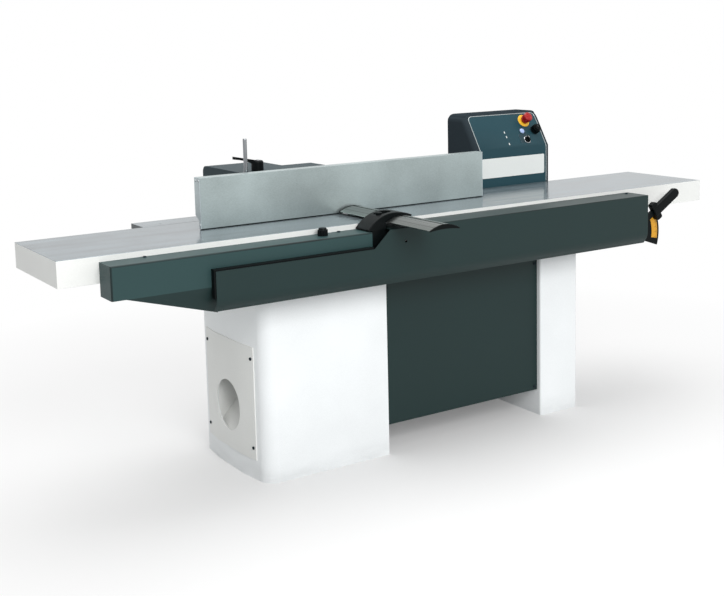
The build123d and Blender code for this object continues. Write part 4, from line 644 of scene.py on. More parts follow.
@dataclass(frozen=True)
class Dress:
    """How one CAD node is dressed.

    Attributes:
        node: The node's name.
        finish: Its finish.
        edge: Width of its softened edges.
        steps: Faces across a softened edge.
        sharp: Edges sharper than this are softened.
        top: Another finish for its upward faces.
        top_level: Height above which that finish holds.
        under: Another finish for its downward faces, a darker copy that paints shade on them.
        narrow: Faces up to this width, such as bends, count as edges too and take the edge tone,
            painted shade where it is darker.
        fold: Width of the rounding along steep folds of broad faces at the front, or 0 for none;
            the rounding takes the edge tone, painted shade where it is darker.
    """

    node: str
    finish: Finish
    edge: float = 0.4
    steps: int = 2
    sharp: float = 40.0
    top: Finish | None = None
    top_level: float = 0.0
    under: Finish | None = None
    narrow: float = 0.0
    fold: float = 0.0

    def copied(self) -> Shape:
        """Return a merged copy of the node's mesh, with its flat faces joined.

        Returns:
            The shape, with an empty attribute for its softened faces.
        """
        shape = bmesh.new()
        shape.from_mesh(frame["nodes"][self.node].data)
        bmesh.ops.remove_doubles(shape, verts=shape.verts, dist=MERGE * MM)
        bmesh.ops.dissolve_limit(
            shape,
            angle_limit=math.radians(FLAT),
            verts=shape.verts,
            edges=shape.edges,
            delimit={"NORMAL"},
        )
        shape.faces.layers.float.new(EDGE_MARK)
        return shape

    def creases(self, shape: Shape) -> list[bmesh.types.BMEdge]:
        """Find the edges of a shape that are to be softened.

        Args:
            shape: The shape.

        Returns:
            Its sharp edges.
        """
        limit = math.radians(self.sharp)
        closed = (edge for edge in shape.edges if edge.is_manifold)
        return [edge for edge in closed if edge.calc_face_angle(0.0) > limit]

    def folds(self, shape: Shape) -> list[bmesh.types.BMEdge]:
        """Return the steep folds of a shape between broad faces at the front.

        Args:
            shape: The shape before its edges are softened.

        Returns:
            The folds' edges.
        """
        steep, broad = math.radians(STEEP), Shading().broad * MM
        return [
            edge
            for edge in self.creases(shape)
            if edge.calc_face_angle_signed(0.0) > steep
            and any(face.normal.y < -FACING_FRONT for face in edge.link_faces)
            and all(width_of(face) > broad for face in edge.link_faces)
        ]

    def rounded(self, shape: Shape, edges: list, width: float, steps: int) -> None:
        """Round edges of a shape and mark the new faces as softened.

        Args:
            shape: The shape.
            edges: Its edges to round.
            width: Width of the rounding.
            steps: Faces across it.
        """
        made = bmesh.ops.bevel(
            shape,
            geom=edges,
            offset=width * MM,
            offset_type="OFFSET",
            segments=steps,
            profile=0.5,
            affect="EDGES",
            clamp_overlap=True,
            loop_slide=True,
        )
        rim = shape.faces.layers.float[EDGE_MARK]
        for face in made["faces"]:
            face[rim] = 1.0

    def reshape(self, shape: Shape) -> None:
        """Leave the softened shape as it is."""

    def coloured(self, shape: Shape) -> list[Finish]:
        """Give the faces of a shape their material slots and mark its narrow faces.

        Args:
            shape: The softened shape.

        Returns:
            The finishes of the slots.
        """
        rim = shape.faces.layers.float[EDGE_MARK]
        finishes = [self.finish] + [other for other in (self.top, self.under) if other]
        for face in shape.faces:
            if width_of(face) < self.narrow * MM:
                face[rim] = 1.0
            high = face.calc_center_median().z > self.top_level * MM
            if self.top and high and face.normal.z > FACING_UP:
                face.material_index = 1
            # Downward faces take the under finish: painted shade
            elif self.under and face.normal.z < -FACING_UP:
                face.material_index = len(finishes) - 1
        return finishes

    def apply(self) -> Piece:
        """Dress the node.

        Returns:
            The piece that stands for the node, with softened edges.
        """
        shape = self.copied()
        if self.fold:
            self.rounded(shape, self.folds(shape), self.fold, 2 * self.steps)
        self.rounded(shape, self.creases(shape), self.edge, self.steps)
        self.reshape(shape)
        mesh = Shading().mesh(shape, f"{self.node}_soft", *self.coloured(shape))
        return as_piece(mesh, frame["nodes"][self.node]["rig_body"], slot_of(self.node), self.node)


@dataclass(frozen=True)
class CornerDress(Dress):
    """A dress that also rounds the upper corners of a box, as they are seen from the front.

    Attributes:
        radius: The corners' radius.
        inner: Distance from a corner's middle up to which nothing moves.
        depth: Distance behind the leaning front over which its lean fades out.
        front_y: Y of the front at its fold.
        front_z: Height of the fold.
        lean: Way back per way up of the leaning front.
        cuts: Cuts across a corner.
    """

    radius: float = 34.0
    inner: float = 25.5
    depth: float = 150.0
    front_y: float = 0.0
    front_z: float = 0.0
    lean: float = 0.0
    cuts: int = 14

    def reshape(self, shape: Shape) -> None:
        """Draw both square corners in to their arcs.

        Args:
            shape: The softened shape.
        """
        low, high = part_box(self.node)
        for side, end in ((-1.0, low.x), (1.0, high.x)):
            radius = self.radius * MM
            middle = Vector((end - side * radius, 0.0, high.z - radius))
            self.cut(shape, middle, side)
            self.draw_in(shape, middle, side)

    def cut(self, shape: Shape, middle: Vector, side: float) -> None:
        """Cut a corner's faces along rays from its middle.

        Args:
            shape: The shape.
            middle: The corner's middle in metres.
            side: 1 for the right corner, -1 for the left one.
        """
        for step in range(self.cuts + 1):
            angle = math.pi / 2.0 * step / self.cuts
            parts = {}
            for face in shape.faces:
                ways = [vert.co - middle for vert in face.verts]
                if max(side * way.x for way in ways) > 0.0 and max(way.z for way in ways) > 0.0:
                    parts.update(dict.fromkeys((*face.verts, *face.edges, face)))
            bmesh.ops.bisect_plane(
                shape,
                geom=list(parts),
                dist=ON_CUT * MM,
                plane_co=middle,
                plane_no=(-side * math.sin(angle), 0.0, math.cos(angle)),
            )

    def draw_in(self, shape: Shape, middle: Vector, side: float) -> None:
        """Move a corner's points in along their rays, until its outline is an arc.

        Args:
            shape: The shape.
            middle: The corner's middle in metres.
            side: 1 for the right corner, -1 for the left one.
        """
        radius, inner = self.radius * MM, self.inner * MM
        for vert in shape.verts:
            out = Vector((vert.co.x - middle.x, 0.0, vert.co.z - middle.z))
            if min(side * out.x, out.z) > 0.0 and out.length > inner:
                reach = radius * out.length / max(side * out.x, out.z)
                drawn = inner + (out.length - inner) * (radius - inner) / (reach - inner)
                shift = out * (drawn / out.length - 1.0)
                leaning = self.front_y * MM + (vert.co.z - self.front_z * MM) * self.lean
                share = 1.0 - (vert.co.y - leaning) / (self.depth * MM)
                shift.y = shift.z * self.lean * min(1.0, max(0.0, share))
                vert.co += shift


class Rule(Nodes):
    """A geometry-node rule with named inputs, run once and baked to a plain mesh."""

    def __init__(self, name: str) -> None:
        """Start an empty rule with geometry in and out.

        Args:
            name: The rule's name, which its mesh gets too.
        """
        super().__init__(bpy.data.node_groups.new(name, "GeometryNodeTree"))
        self.values: dict[str, object] = {}
        for way in ("INPUT", "OUTPUT"):
            self.tree.interface.new_socket(
                "Geometry", in_out=way, socket_type="NodeSocketGeometry"
            )
        self.start = self.tree.nodes.new("NodeGroupInput")
        self.end = self.tree.nodes.new("NodeGroupOutput")

    def size(self, name: str, kind: str, value: object) -> Socket:
        """Add a named input.

        Args:
            name: The input's name.
            kind: The socket's type, such as Float, Int, Vector or Material.
            value: The value that the modifier gets.

        Returns:
            The input's socket inside the rule.
        """
        kind = f"NodeSocket{kind}"
        item = self.tree.interface.new_socket(name, in_out="INPUT", socket_type=kind)
        self.values[item.identifier] = value
        return self.start.outputs[name]

    def vector(self, x: object = 0.0, y: object = 0.0, z: object = 0.0) -> Socket:
        """Return a vector made of three values."""
        return self.out("ShaderNodeCombineXYZ", {"X": x, "Y": y, "Z": z})

    def bake(self, data: bpy.types.ID, geometry: Socket, finish: Finish) -> Mesh:
        """Close the rule, run it on data and return its mesh.

        Args:
            data: A mesh or curve that the rule starts from.
            geometry: The rule's last geometry.
            finish: The finish of all that the rule makes.

        Returns:
            The plain mesh.
        """
        dressed = self.size("Finish", "Material", finish.material())
        solid = self.out("GeometryNodeRealizeInstances", {"Geometry": geometry})
        last = self.out("GeometryNodeSetMaterial", {"Geometry": solid, "Material": dressed})
        self.tree.links.new(last, self.end.inputs[0])
        worker = loose_object("ruled", data)
        modifier = worker.modifiers.new("rule", "NODES")
        modifier.node_group = self.tree
        for identifier, value in self.values.items():
            modifier[identifier] = value
        return baked(worker, self.tree.name)


def spots_mesh(spots: Sequence[Point]) -> Mesh:
    """Make a mesh of single vertices.

    Args:
        spots: The vertices' places in millimetres.

    Returns:
        The mesh.
    """
    mesh = bpy.data.meshes.new("spots")
    mesh.from_pydata([tuple(value * MM for value in spot) for spot in spots], [], [])
    return mesh


@dataclass(frozen=True)
class ScrewHeads:
    """Pan screw heads with a hexagon socket, all facing one way.

    Attributes:
        name: The piece's name.
        spots: The heads' seats.
        facing: The way that they face.
        body: The body that they ride on.
        radius: A head's radius.
        height: A head's height.
        crown: The radius at the top as a share of that at the foot.
        socket: The socket's radius as a share of the head's.
        socket_length: Length of the socket's cutter as a share of the head's height.
        sides: Steps round a head.
    """

    name: str
    spots: Sequence[Point]
    facing: Facing
    body: str = "machine"
    radius: float = 5.5
    height: float = 3.0
    crown: float = 0.78
    socket: float = 0.5
    socket_length: float = 1.2
    sides: int = 20

    def build(self) -> Piece:
        """Make the heads by a rule that sets one on each spot.

        Returns:
            The heads as one piece.
        """
        rule = Rule(self.name)
        wide = rule.size("Head radius", "Float", self.radius * MM)
        tall = rule.size("Head height", "Float", self.height * MM)
        turn = tuple(math.radians(angle) for angle in self.facing.value)
        facing = rule.size("Turn", "Vector", turn)
        links = {
            "Vertices": self.sides,
            "Side Segments": 2,
            "Radius Bottom": wide,
            "Radius Top": rule.math("MULTIPLY", wide, self.crown),
            "Depth": tall,
        }
        head = rule.out("GeometryNodeMeshCone", links)
        links = {
            "Vertices": 6,
            "Radius": rule.math("MULTIPLY", wide, self.socket),
            "Depth": rule.math("MULTIPLY", tall, self.socket_length),
        }
        cutter = rule.out("GeometryNodeMeshCylinder", links)
        links = {"Geometry": cutter, "Translation": rule.vector(z=tall)}
        raised = rule.out("GeometryNodeTransform", links)
        links = {"Mesh 1": head, "Mesh 2": raised}
        bored = rule.out("GeometryNodeMeshBoolean", links, operation="DIFFERENCE")
        links = {"Points": rule.start.outputs["Geometry"], "Instance": bored, "Rotation": facing}
        heads = rule.out("GeometryNodeInstanceOnPoints", links)
        return as_piece(rule.bake(spots_mesh(self.spots), heads, STEEL), self.body, "bright_steel")


@dataclass(frozen=True)
class Seat:
    """A place on the machine that a turned or flat detail stands on.

    Attributes:
        place: The seat's middle.
        normal: The direction that the detail stands up in.
        side: The direction of the detail's own X.
    """

    place: Point
    normal: Point
    side: Point = (1.0, 0.0, 0.0)

    def matrix(self) -> Matrix:
        """Work out the turn and shift that put a detail on the seat.

        Returns:
            The placement, in metres.
        """
        up = Vector(self.normal).normalized()
        side = Vector(self.side).normalized()
        turn = Matrix((side, up.cross(side), up)).transposed().to_4x4()
        return Matrix.Translation(Vector(self.place) * MM) @ turn

    def lathe(
        self, name: str, outline: Outline, finish: Finish, ring: bool = False, turns: int = 48
    ) -> Mesh:
        """Turn an outline round the seat's normal.

        Args:
            name: The mesh's name.
            outline: Radius and height pairs, from the foot to the crown.
            finish: The finish of the mesh.
            ring: Whether the outline closes on itself, as a ring's does.
            turns: Steps round the axis.

        Returns:
            The closed, shaded mesh.
        """
        shape = bmesh.new()
        angles = [2.0 * math.pi * step / turns for step in range(turns)]
        rings = []
        for radius, height in outline:
            used = angles if radius > ON_AXIS else angles[:1]
            spots = [
                (radius * math.cos(angle) * MM, radius * math.sin(angle) * MM, height * MM)
                for angle in used
            ]
            rings.append([shape.verts.new(spot) for spot in spots])
        pairs = list(zip(rings[:-1], rings[1:])) + ([(rings[-1], rings[0])] if ring else [])
        for lower, upper in pairs:
            for step in range(turns):
                after = (step + 1) % turns
                corners = (lower[step % len(lower)], lower[after % len(lower)])
                corners += (upper[after % len(upper)], upper[step % len(upper)])
                unique = list(dict.fromkeys(corners))
                if len(unique) > 2:
                    shape.faces.new(unique)
        bmesh.ops.recalc_face_normals(shape, faces=shape.faces)
        shape.transform(self.matrix())
        return Shading(sharp=38.0).mesh(shape, name, finish)

    def raise_tile(self, shape: Shape, outline: Outline, height: float, edge: float) -> None:
        """Raise a flat outline from the seat as a part of a shape, and soften its upper edges.

        Args:
            shape: The shape that the tile is added to.
            outline: Corners on the seat, in order.
            height: The tile's height.
            edge: Width of the softened edges.
        """
        matrix = self.matrix()
        corners = [matrix @ Vector((x * MM, y * MM, 0.0)) for x, y in outline]
        foot = shape.faces.new([shape.verts.new(corner) for corner in corners])
        made = bmesh.ops.extrude_face_region(shape, geom=[foot])
        upper = [item for item in made["geom"] if isinstance(item, bmesh.types.BMVert)]
        way = matrix.to_3x3() @ Vector((0.0, 0.0, height * MM))
        bmesh.ops.translate(shape, verts=upper, vec=way)
        bmesh.ops.recalc_face_normals(shape, faces=shape.faces)
        rim = [line for line in shape.edges if all(vert in upper for vert in line.verts)]
        bmesh.ops.bevel(
            shape, geom=rim, offset=edge * MM, segments=2, profile=0.5, affect="EDGES"
        )

    def tile(
        self, name: str, outline: Outline, height: float, finish: Finish, edge: float = 0.1
    ) -> Mesh:
        """Raise a flat outline from the seat and soften its upper edges.

        Args:
            name: The mesh's name.
            outline: Corners on the seat, in order.
            height: The tile's height.
            finish: The finish of the mesh.
            edge: Width of the softened edges.

        Returns:
            The closed, shaded mesh.
        """
        shape = bmesh.new()
        self.raise_tile(shape, outline, height, edge)
        return Shading().mesh(shape, name, finish)


class SubAssembly:
    """A group of pieces that is built and dressed together."""

    def dresses(self) -> list[Dress]:
        """Say how each CAD node of the group is dressed."""
        return []

    def trim(self) -> list[Piece]:
        """Build the pieces that the CAD model doesn't hold."""
        return []

    def build(self) -> list[Piece]:
        """Dress the group's nodes, build its trim and return all of it."""
        return [dress.apply() for dress in self.dresses()] + self.trim()


@dataclass
class Tables(SubAssembly):
    """The two ground tables and the plate behind the fence."""

    edge: float = 1.2
    top: float = 868.0

    def dresses(self) -> list[Dress]:
        """Say how the tables are dressed.

        Returns:
            One dress for each node.
        """
        sides = {"outfeed_table": WHITE, "infeed_table": WHITE, "rear_fence_plate": CAST_GREY}
        return [
            Dress(name, side, self.edge, top=GROUND_IRON, top_level=self.top)
            for name, side in sides.items()
        ]


@dataclass
class CutterBlock(SubAssembly):
    """The cutterhead with its knives and bearings."""

    def dresses(self) -> list[Dress]:
        """Say how the cutterhead is dressed.

        Returns:
            One dress for each node.
        """
        return [
            Dress("cutterhead", STEEL, 0.3),
            Dress("knives", CHROME, 0.1),
            Dress("knife_wedges", STEEL, 0.3),
            Dress("bearing_housings", BED_PAINT_AND_SHADE, 1.5),
            Dress("head_bearings", STEEL, 0.5),
        ]


@dataclass
class BeltDrive(SubAssembly):
    """The motor, its belt and what covers it."""

    def dresses(self) -> list[Dress]:
        """Say how the drive is dressed.

        Returns:
            One dress for each node.
        """
        return [
            Dress("head_pulley", PULLEY_IRON, 0.6),
            Dress("motor_pulley", PULLEY_IRON, 0.6),
            Dress("drive_belt", BELT, 0.6),
            Dress("belt_cover", DARKER_TEAL_AND_SHADE, 1.0),
            Dress("motor_plate", BED_PAINT_AND_SHADE, 1.0),
            Dress("motor_body", MOTOR_PAINT, 0.6),
            Dress("motor_fan_cover", FAN_PAINT, 0.6),
            Dress("motor_terminal_box", MOTOR_PAINT, 2.0),
            Dress("motor_shaft", STEEL, 1.0),
        ]


@dataclass
class LiftGear(SubAssembly):
    """The bed, the eccentrics under the infeed table and the depth lever with its scale.

    The pivot is where the lever's axis meets the scale's face. A tick's size is its length,
    height and width, and the first tick of each group is longer by the extra share.
    """

    pivot: Point = (881.0, -248.05, 700.0)
    nut_y: float = -262.5
    nut: Outline = (
        (0.0, 0.0), (21.0, 0.0), (21.0, 2.0), (13.5, 2.0), (13.5, 8.5), (12.0, 9.5), (0.0, 9.5)
    )
    tick_count: int = 17
    tick_from: float = -8.0
    tick_sweep: float = 29.5
    tick_rim: float = 165.5
    tick_size: Point = (7.0, 0.3, 1.0)
    tick_group: float = 4.0
    tick_extra: float = 0.8

    def dresses(self) -> list[Dress]:
        """Say how the bed and the lifting gear are dressed.

        Returns:
            One dress for each node.
        """
        return [
            Dress("bed_frame", BED_PAINT_AND_SHADE, 1.0),
            Dress("near_eccentric_shaft", STEEL, 0.6),
            Dress("far_eccentric_shaft", STEEL, 0.6),
            Dress("lift_link", STEEL, 0.6),
            Dress("depth_lever", BLACK_PLASTIC, 1.0),
            Dress("lever_grip", BLACK_PLASTIC, 0.8),
            Dress("scale_quadrant", BLACK_PLASTIC, 0.8),
            Dress("depth_scale", AMBER, 0.3),
        ]

    def ticks(self) -> Mesh:
        """Return the printed ticks of the depth scale, some of them longer.

        Returns:
            The ticks as one mesh, fanned about the lever's pivot.
        """
        rule = Rule("scale_ticks")
        join = rule.math
        count = rule.size("Count", "Int", self.tick_count)
        first = rule.size("First angle", "Float", math.radians(self.tick_from))
        sweep = rule.size("Sweep", "Float", math.radians(self.tick_sweep))
        rim = rule.size("Rim radius", "Float", self.tick_rim * MM)
        length = rule.size("Length", "Float", self.tick_size[0] * MM)
        whole = rule.size("Tick size", "Vector", tuple(value * MM for value in self.tick_size))
        pivot = rule.size("Pivot", "Vector", tuple(value * MM for value in self.pivot))
        index = rule.out("GeometryNodeInputIndex")
        part = join("DIVIDE", index, join("SUBTRACT", count, 1.0))
        angle = join("ADD", first, join("MULTIPLY", sweep, part))
        longer = join("LESS_THAN", join("MODULO", index, self.tick_group), 0.5)
        scale = join("ADD", 1.0, join("MULTIPLY", longer, self.tick_extra))
        half = join("MULTIPLY", join("MULTIPLY", length, scale), 0.5)
        reach = join("SUBTRACT", rim, half)
        fan = rule.vector(
            x=join("MULTIPLY", reach, join("COSINE", angle)),
            z=join("MULTIPLY", reach, join("SINE", angle)),
        )
        place = rule.out("ShaderNodeVectorMath", {0: fan, 1: pivot}, operation="ADD")
        links = {
            "Points": rule.out("GeometryNodePoints", {"Count": count, "Position": place}),
            "Instance": rule.out("GeometryNodeMeshCube", {"Size": whole}),
            "Rotation": rule.vector(y=join("MULTIPLY", angle, -1.0)),
            "Scale": rule.vector(scale, 1.0, 1.0),
        }
        fanned = rule.out("GeometryNodeInstanceOnPoints", links)
        return rule.bake(spots_mesh([]), fanned, INK)

    def trim(self) -> list[Piece]:
        """Build the scale's ticks and the nut on the lever's shaft.

        Returns:
            The ticks and the nut.
        """
        seat = Seat((self.pivot[0], self.nut_y, self.pivot[2]), FRONTWARD)
        nut = seat.lathe("lever_nut", self.nut, STEEL, turns=12)
        return [
            as_piece(self.ticks(), "machine", "black_plastic"),
            as_piece(nut, "far_eccentric", "bright_steel"),
        ]


@dataclass
class Base(SubAssembly):
    """The sheet-steel base: cabinet, nose cover, leg, panels and chute."""

    margin: float = 14.0

    def dresses(self) -> list[Dress]:
        """Say how the base is dressed.

        Returns:
            One dress for each node.
        """
        return [
            Dress("left_cabinet", BASE_WHITE, 1.0),
            Dress("nose_cover", WHITE, 0.8),
            Dress("right_leg", BASE_WHITE, 1.0),
            Dress("centre_panel", DARKER_TEAL_AND_SHADE, 0.6),
            Dress("rear_panel", DARKER_TEAL_AND_SHADE, 0.6),
            Dress("dust_chute", WHITE, 0.5),
            Dress("cover_screws", BLACK_PAINT, 0.3),
        ]

    def trim(self) -> list[Piece]:
        """Build the screws of the rear panel.

        Returns:
            All the screws as one piece.
        """
        low, high = box_of("rear_panel")
        xs = (low.x + self.margin, (low.x + high.x) / 2.0, high.x - self.margin)
        zs = (low.z + self.margin, high.z - self.margin)
        spots = [(x, high.y, z) for x in xs for z in zs]
        return [ScrewHeads("rear_panel_screws", spots, Facing.BACK).build()]


@dataclass
class FrontCovers(SubAssembly):
    """The folded covers along the operator's side, and a black strip between them that is a
    painted shadow of the gap there.

    Faces of the main cover up to the bend's width count as edges and take the painted edge shade,
    and the fold is the rounding along the outfeed cover's front folds, darkened as painted shade.
    The strip's Y are those of its front and its back.
    """

    edge: float = 0.9
    bend: float = 5.0
    fold: float = 5.0
    shadow_strip: float = 6.0
    shadow_strip_gap: float = 0.2
    shadow_strip_low: float = 712.0
    shadow_strip_top: float = 797.2
    shadow_strip_end: float = -336.0
    shadow_strip_y: Pair = (-289.5, -270.0)
    shadow_strip_edge: float = 0.8

    def dresses(self) -> list[Dress]:
        """Say how the covers are dressed.

        Returns:
            One dress for each node.
        """
        return [
            # The outfeed cover's downward faces and the whole main cover take the darker teal as
            # painted shade
            Dress("outfeed_front_cover", TEAL, self.edge, fold=self.fold, under=DARKER_TEAL_AND_SHADE),
            Dress("main_front_cover", DARKER_TEAL_AND_SHADE, self.edge, narrow=self.bend),
            Dress("cover_brackets", BED_PAINT_AND_SHADE, 0.6),
            Dress("cover_knob", BLACK_PLASTIC, 0.6),
        ]

    def trim(self) -> list[Piece]:
        """Build the black strip in the gap between the two covers, a painted shadow of that gap.

        Returns:
            The strip.
        """
        # A black strip put where the gap between the covers holds only shade: painted shadow
        right = box_of("main_front_cover")[0].x - self.shadow_strip_gap
        left, crown = right - self.shadow_strip, self.shadow_strip_top + self.shadow_strip
        outline = [
            (left, self.shadow_strip_low),
            (right, self.shadow_strip_low),
            (right, self.shadow_strip_top),
            (self.shadow_strip_end, self.shadow_strip_top),
            (self.shadow_strip_end, crown),
            (left, crown),
        ]
        front, back = self.shadow_strip_y
        seat = Seat((0.0, back, 0.0), FRONTWARD)
        shadow_strip = seat.tile("cover_gap_shadow_strip", outline, back - front, BLACK_PLASTIC, self.shadow_strip_edge)
        return [as_piece(shadow_strip, "machine", "black_plastic")]


@dataclass
class Fence(SubAssembly):
    """The fence with its tilting brackets and carriage.

    The runner is a black strip under the fence that also stands for the shadow of the gap above
    the table, a painted shadow; its pair is its near and far side behind the fence's face. Spots
    of screws are their Y and height, and sizes of screws their radius and height. The lock's drop
    is from the lever's top to its hub.
    """

    shadow_runner: Pair = (1.0, 14.0)
    shadow_runner_height: float = 2.4
    shadow_runner_edge: float = 0.4
    cap_spots: Outline = ((53.0, 886.0), (53.0, 1034.0), (74.0, 1034.0))
    cap_screw: Pair = (4.0, 2.0)
    hood_spots: Outline = ((250.0, 892.0), (470.0, 892.0))
    hood_screw: Pair = (4.5, 2.4)
    lock_screw: Pair = (7.0, 2.5)
    lock_x: float = -493.0
    lock_drop: float = 20.0

    def dresses(self) -> list[Dress]:
        """Say how the fence is dressed.

        Returns:
            One dress for each node.
        """
        return [
            Dress("fence_profile", FENCE_METAL, 0.8),
            Dress("fence_end_caps", CAP_METAL, 0.8),
            Dress("fence_brackets", CAP_METAL, 1.0),
            Dress("tilt_pin", STEEL, 0.8),
            Dress("rod_holder", CAP_METAL, 1.0),
            Dress("fence_rod", ROD_STEEL, 4.5, steps=5),
            Dress("fence_saddle", CAST_GREY, 1.5),
            Dress("fence_hood", HOOD_PAINT, 0.8),
            Dress("lock_lever", BLACK_PLASTIC, 1.2),
            Dress("fence_rail", STEEL, 0.8),
        ]

    def shadow_runner_strip(self) -> Piece:
        """Build the black strip that the fence runs on, which also stands for the shadow of the
        gap under the fence: a painted shadow.

        Returns:
            The strip.
        """
        low, high = box_of("fence_profile")
        near, far = self.shadow_runner
        outline = [(low.x, -near), (high.x, -near), (high.x, -far), (low.x, -far)]
        seat = Seat((0.0, low.y, low.z), (0.0, 0.0, -1.0))
        strip = seat.tile(
            "fence_runner_and_gap_shadow", outline, self.shadow_runner_height, BLACK_PLASTIC, self.shadow_runner_edge
        )
        return as_piece(strip, "fence", "black_plastic")

    def trim(self) -> list[Piece]:
        """Build the runner with its painted shadow, and the screws of the end caps, the hood and
        the lock lever.

        Returns:
            The runner with its painted shadow, and a piece for each group of screws.
        """
        low, high = box_of("fence_end_caps")
        left = [(low.x, y, z) for y, z in self.cap_spots]
        right = [(high.x, y, z) for y, z in self.cap_spots]
        hood = [(box_of("fence_hood")[0].x, y, z) for y, z in self.hood_spots]
        low, high = box_of("lock_lever")
        hub = (self.lock_x, (low.y + high.y) / 2.0, high.z - self.lock_drop)
        return [
            self.shadow_runner_strip(),
            ScrewHeads("left_cap_screws", left, Facing.LEFT, "fence", *self.cap_screw).build(),
            ScrewHeads("right_cap_screws", right, Facing.RIGHT, "fence", *self.cap_screw).build(),
            ScrewHeads("hood_screws", hood, Facing.LEFT, "carriage", *self.hood_screw).build(),
            ScrewHeads("lock_screw", [hub], Facing.UP, "lock", *self.lock_screw).build(),
        ]


@dataclass
class BridgeGuard(SubAssembly):
    """The arm over the cutterhead and its sliding blade.

    The blade's end caps have an upper arch, the crown, that rises from their shoulders, and a
    lower one, the hollow.
    """

    cap_depth: float = 5.5
    cap_crown: float = 17.0
    cap_shoulder: float = 3.5
    cap_hollow: float = 4.8
    cap_edge: float = 0.8
    cap_steps: int = 24

    def dresses(self) -> list[Dress]:
        """Say how the guard is dressed.

        Returns:
            One dress for each node.
        """
        return [
            Dress("guard_arm", BLACK_PLASTIC, 0.8),
            Dress("guard_blade", BLADE_METAL, 0.5),
            Dress("guard_knob", BLACK_PLASTIC, 0.4),
            Dress("guard_guide", BED_PAINT_AND_SHADE, 0.8),
        ]

    def trim(self) -> list[Piece]:
        """Build the blade's end caps, arched below as they are above.

        Returns:
            Both caps as one piece.
        """
        low, high = box_of("blade_caps")
        middle, half = (low.x + high.x) / 2.0, (high.x - low.x) / 2.0
        places = [2.0 * step / self.cap_steps - 1.0 for step in range(self.cap_steps + 1)]
        arch = [(half * place, 1.0 - place * place) for place in places]
        outline = [(x, self.cap_hollow * rise) for x, rise in arch]
        outline += [(x, self.cap_shoulder + self.cap_crown * rise) for x, rise in reversed(arch)]
        front = Seat((middle, low.y + self.cap_depth, low.z), FRONTWARD)
        place = (middle, high.y - self.cap_depth, low.z)
        back = Seat(place, (0.0, 1.0, 0.0), (-1.0, 0.0, 0.0))
        shape = bmesh.new()
        for seat in (front, back):
            seat.raise_tile(shape, outline, self.cap_depth, self.cap_edge)
        caps = Shading().mesh(shape, "arched_blade_caps", BLACK_PLASTIC)
        return [as_piece(caps, "blade", "black_plastic", "blade_caps")]


@dataclass(frozen=True)
class Mark:
    """A thin bar on the leaning panel or on one of its knobs.

    Attributes:
        name: The piece's name.
        place: The bar's X, and its way up the leaning face.
        size: Its width and length.
        lift: Height of its seat above the face.
        offset: How far its middle is shifted up the face.
        height: Its own height.
        finish: Its finish.
        body: The body that it rides on.
    """

    name: str
    place: Pair
    size: Pair = (4.0, 9.0)
    lift: float = 0.0
    offset: float = 0.0
    height: float = 0.25
    finish: Finish = PLATE_WHITE
    body: str = "machine"

    def outline(self) -> Outline:
        """Work out the bar's corners about its seat.

        Returns:
            The corners, in order.
        """
        right, up = self.size[0] / 2.0, self.size[1] / 2.0
        low, high = self.offset - up, self.offset + up
        return [(-right, low), (right, low), (right, high), (-right, high)]


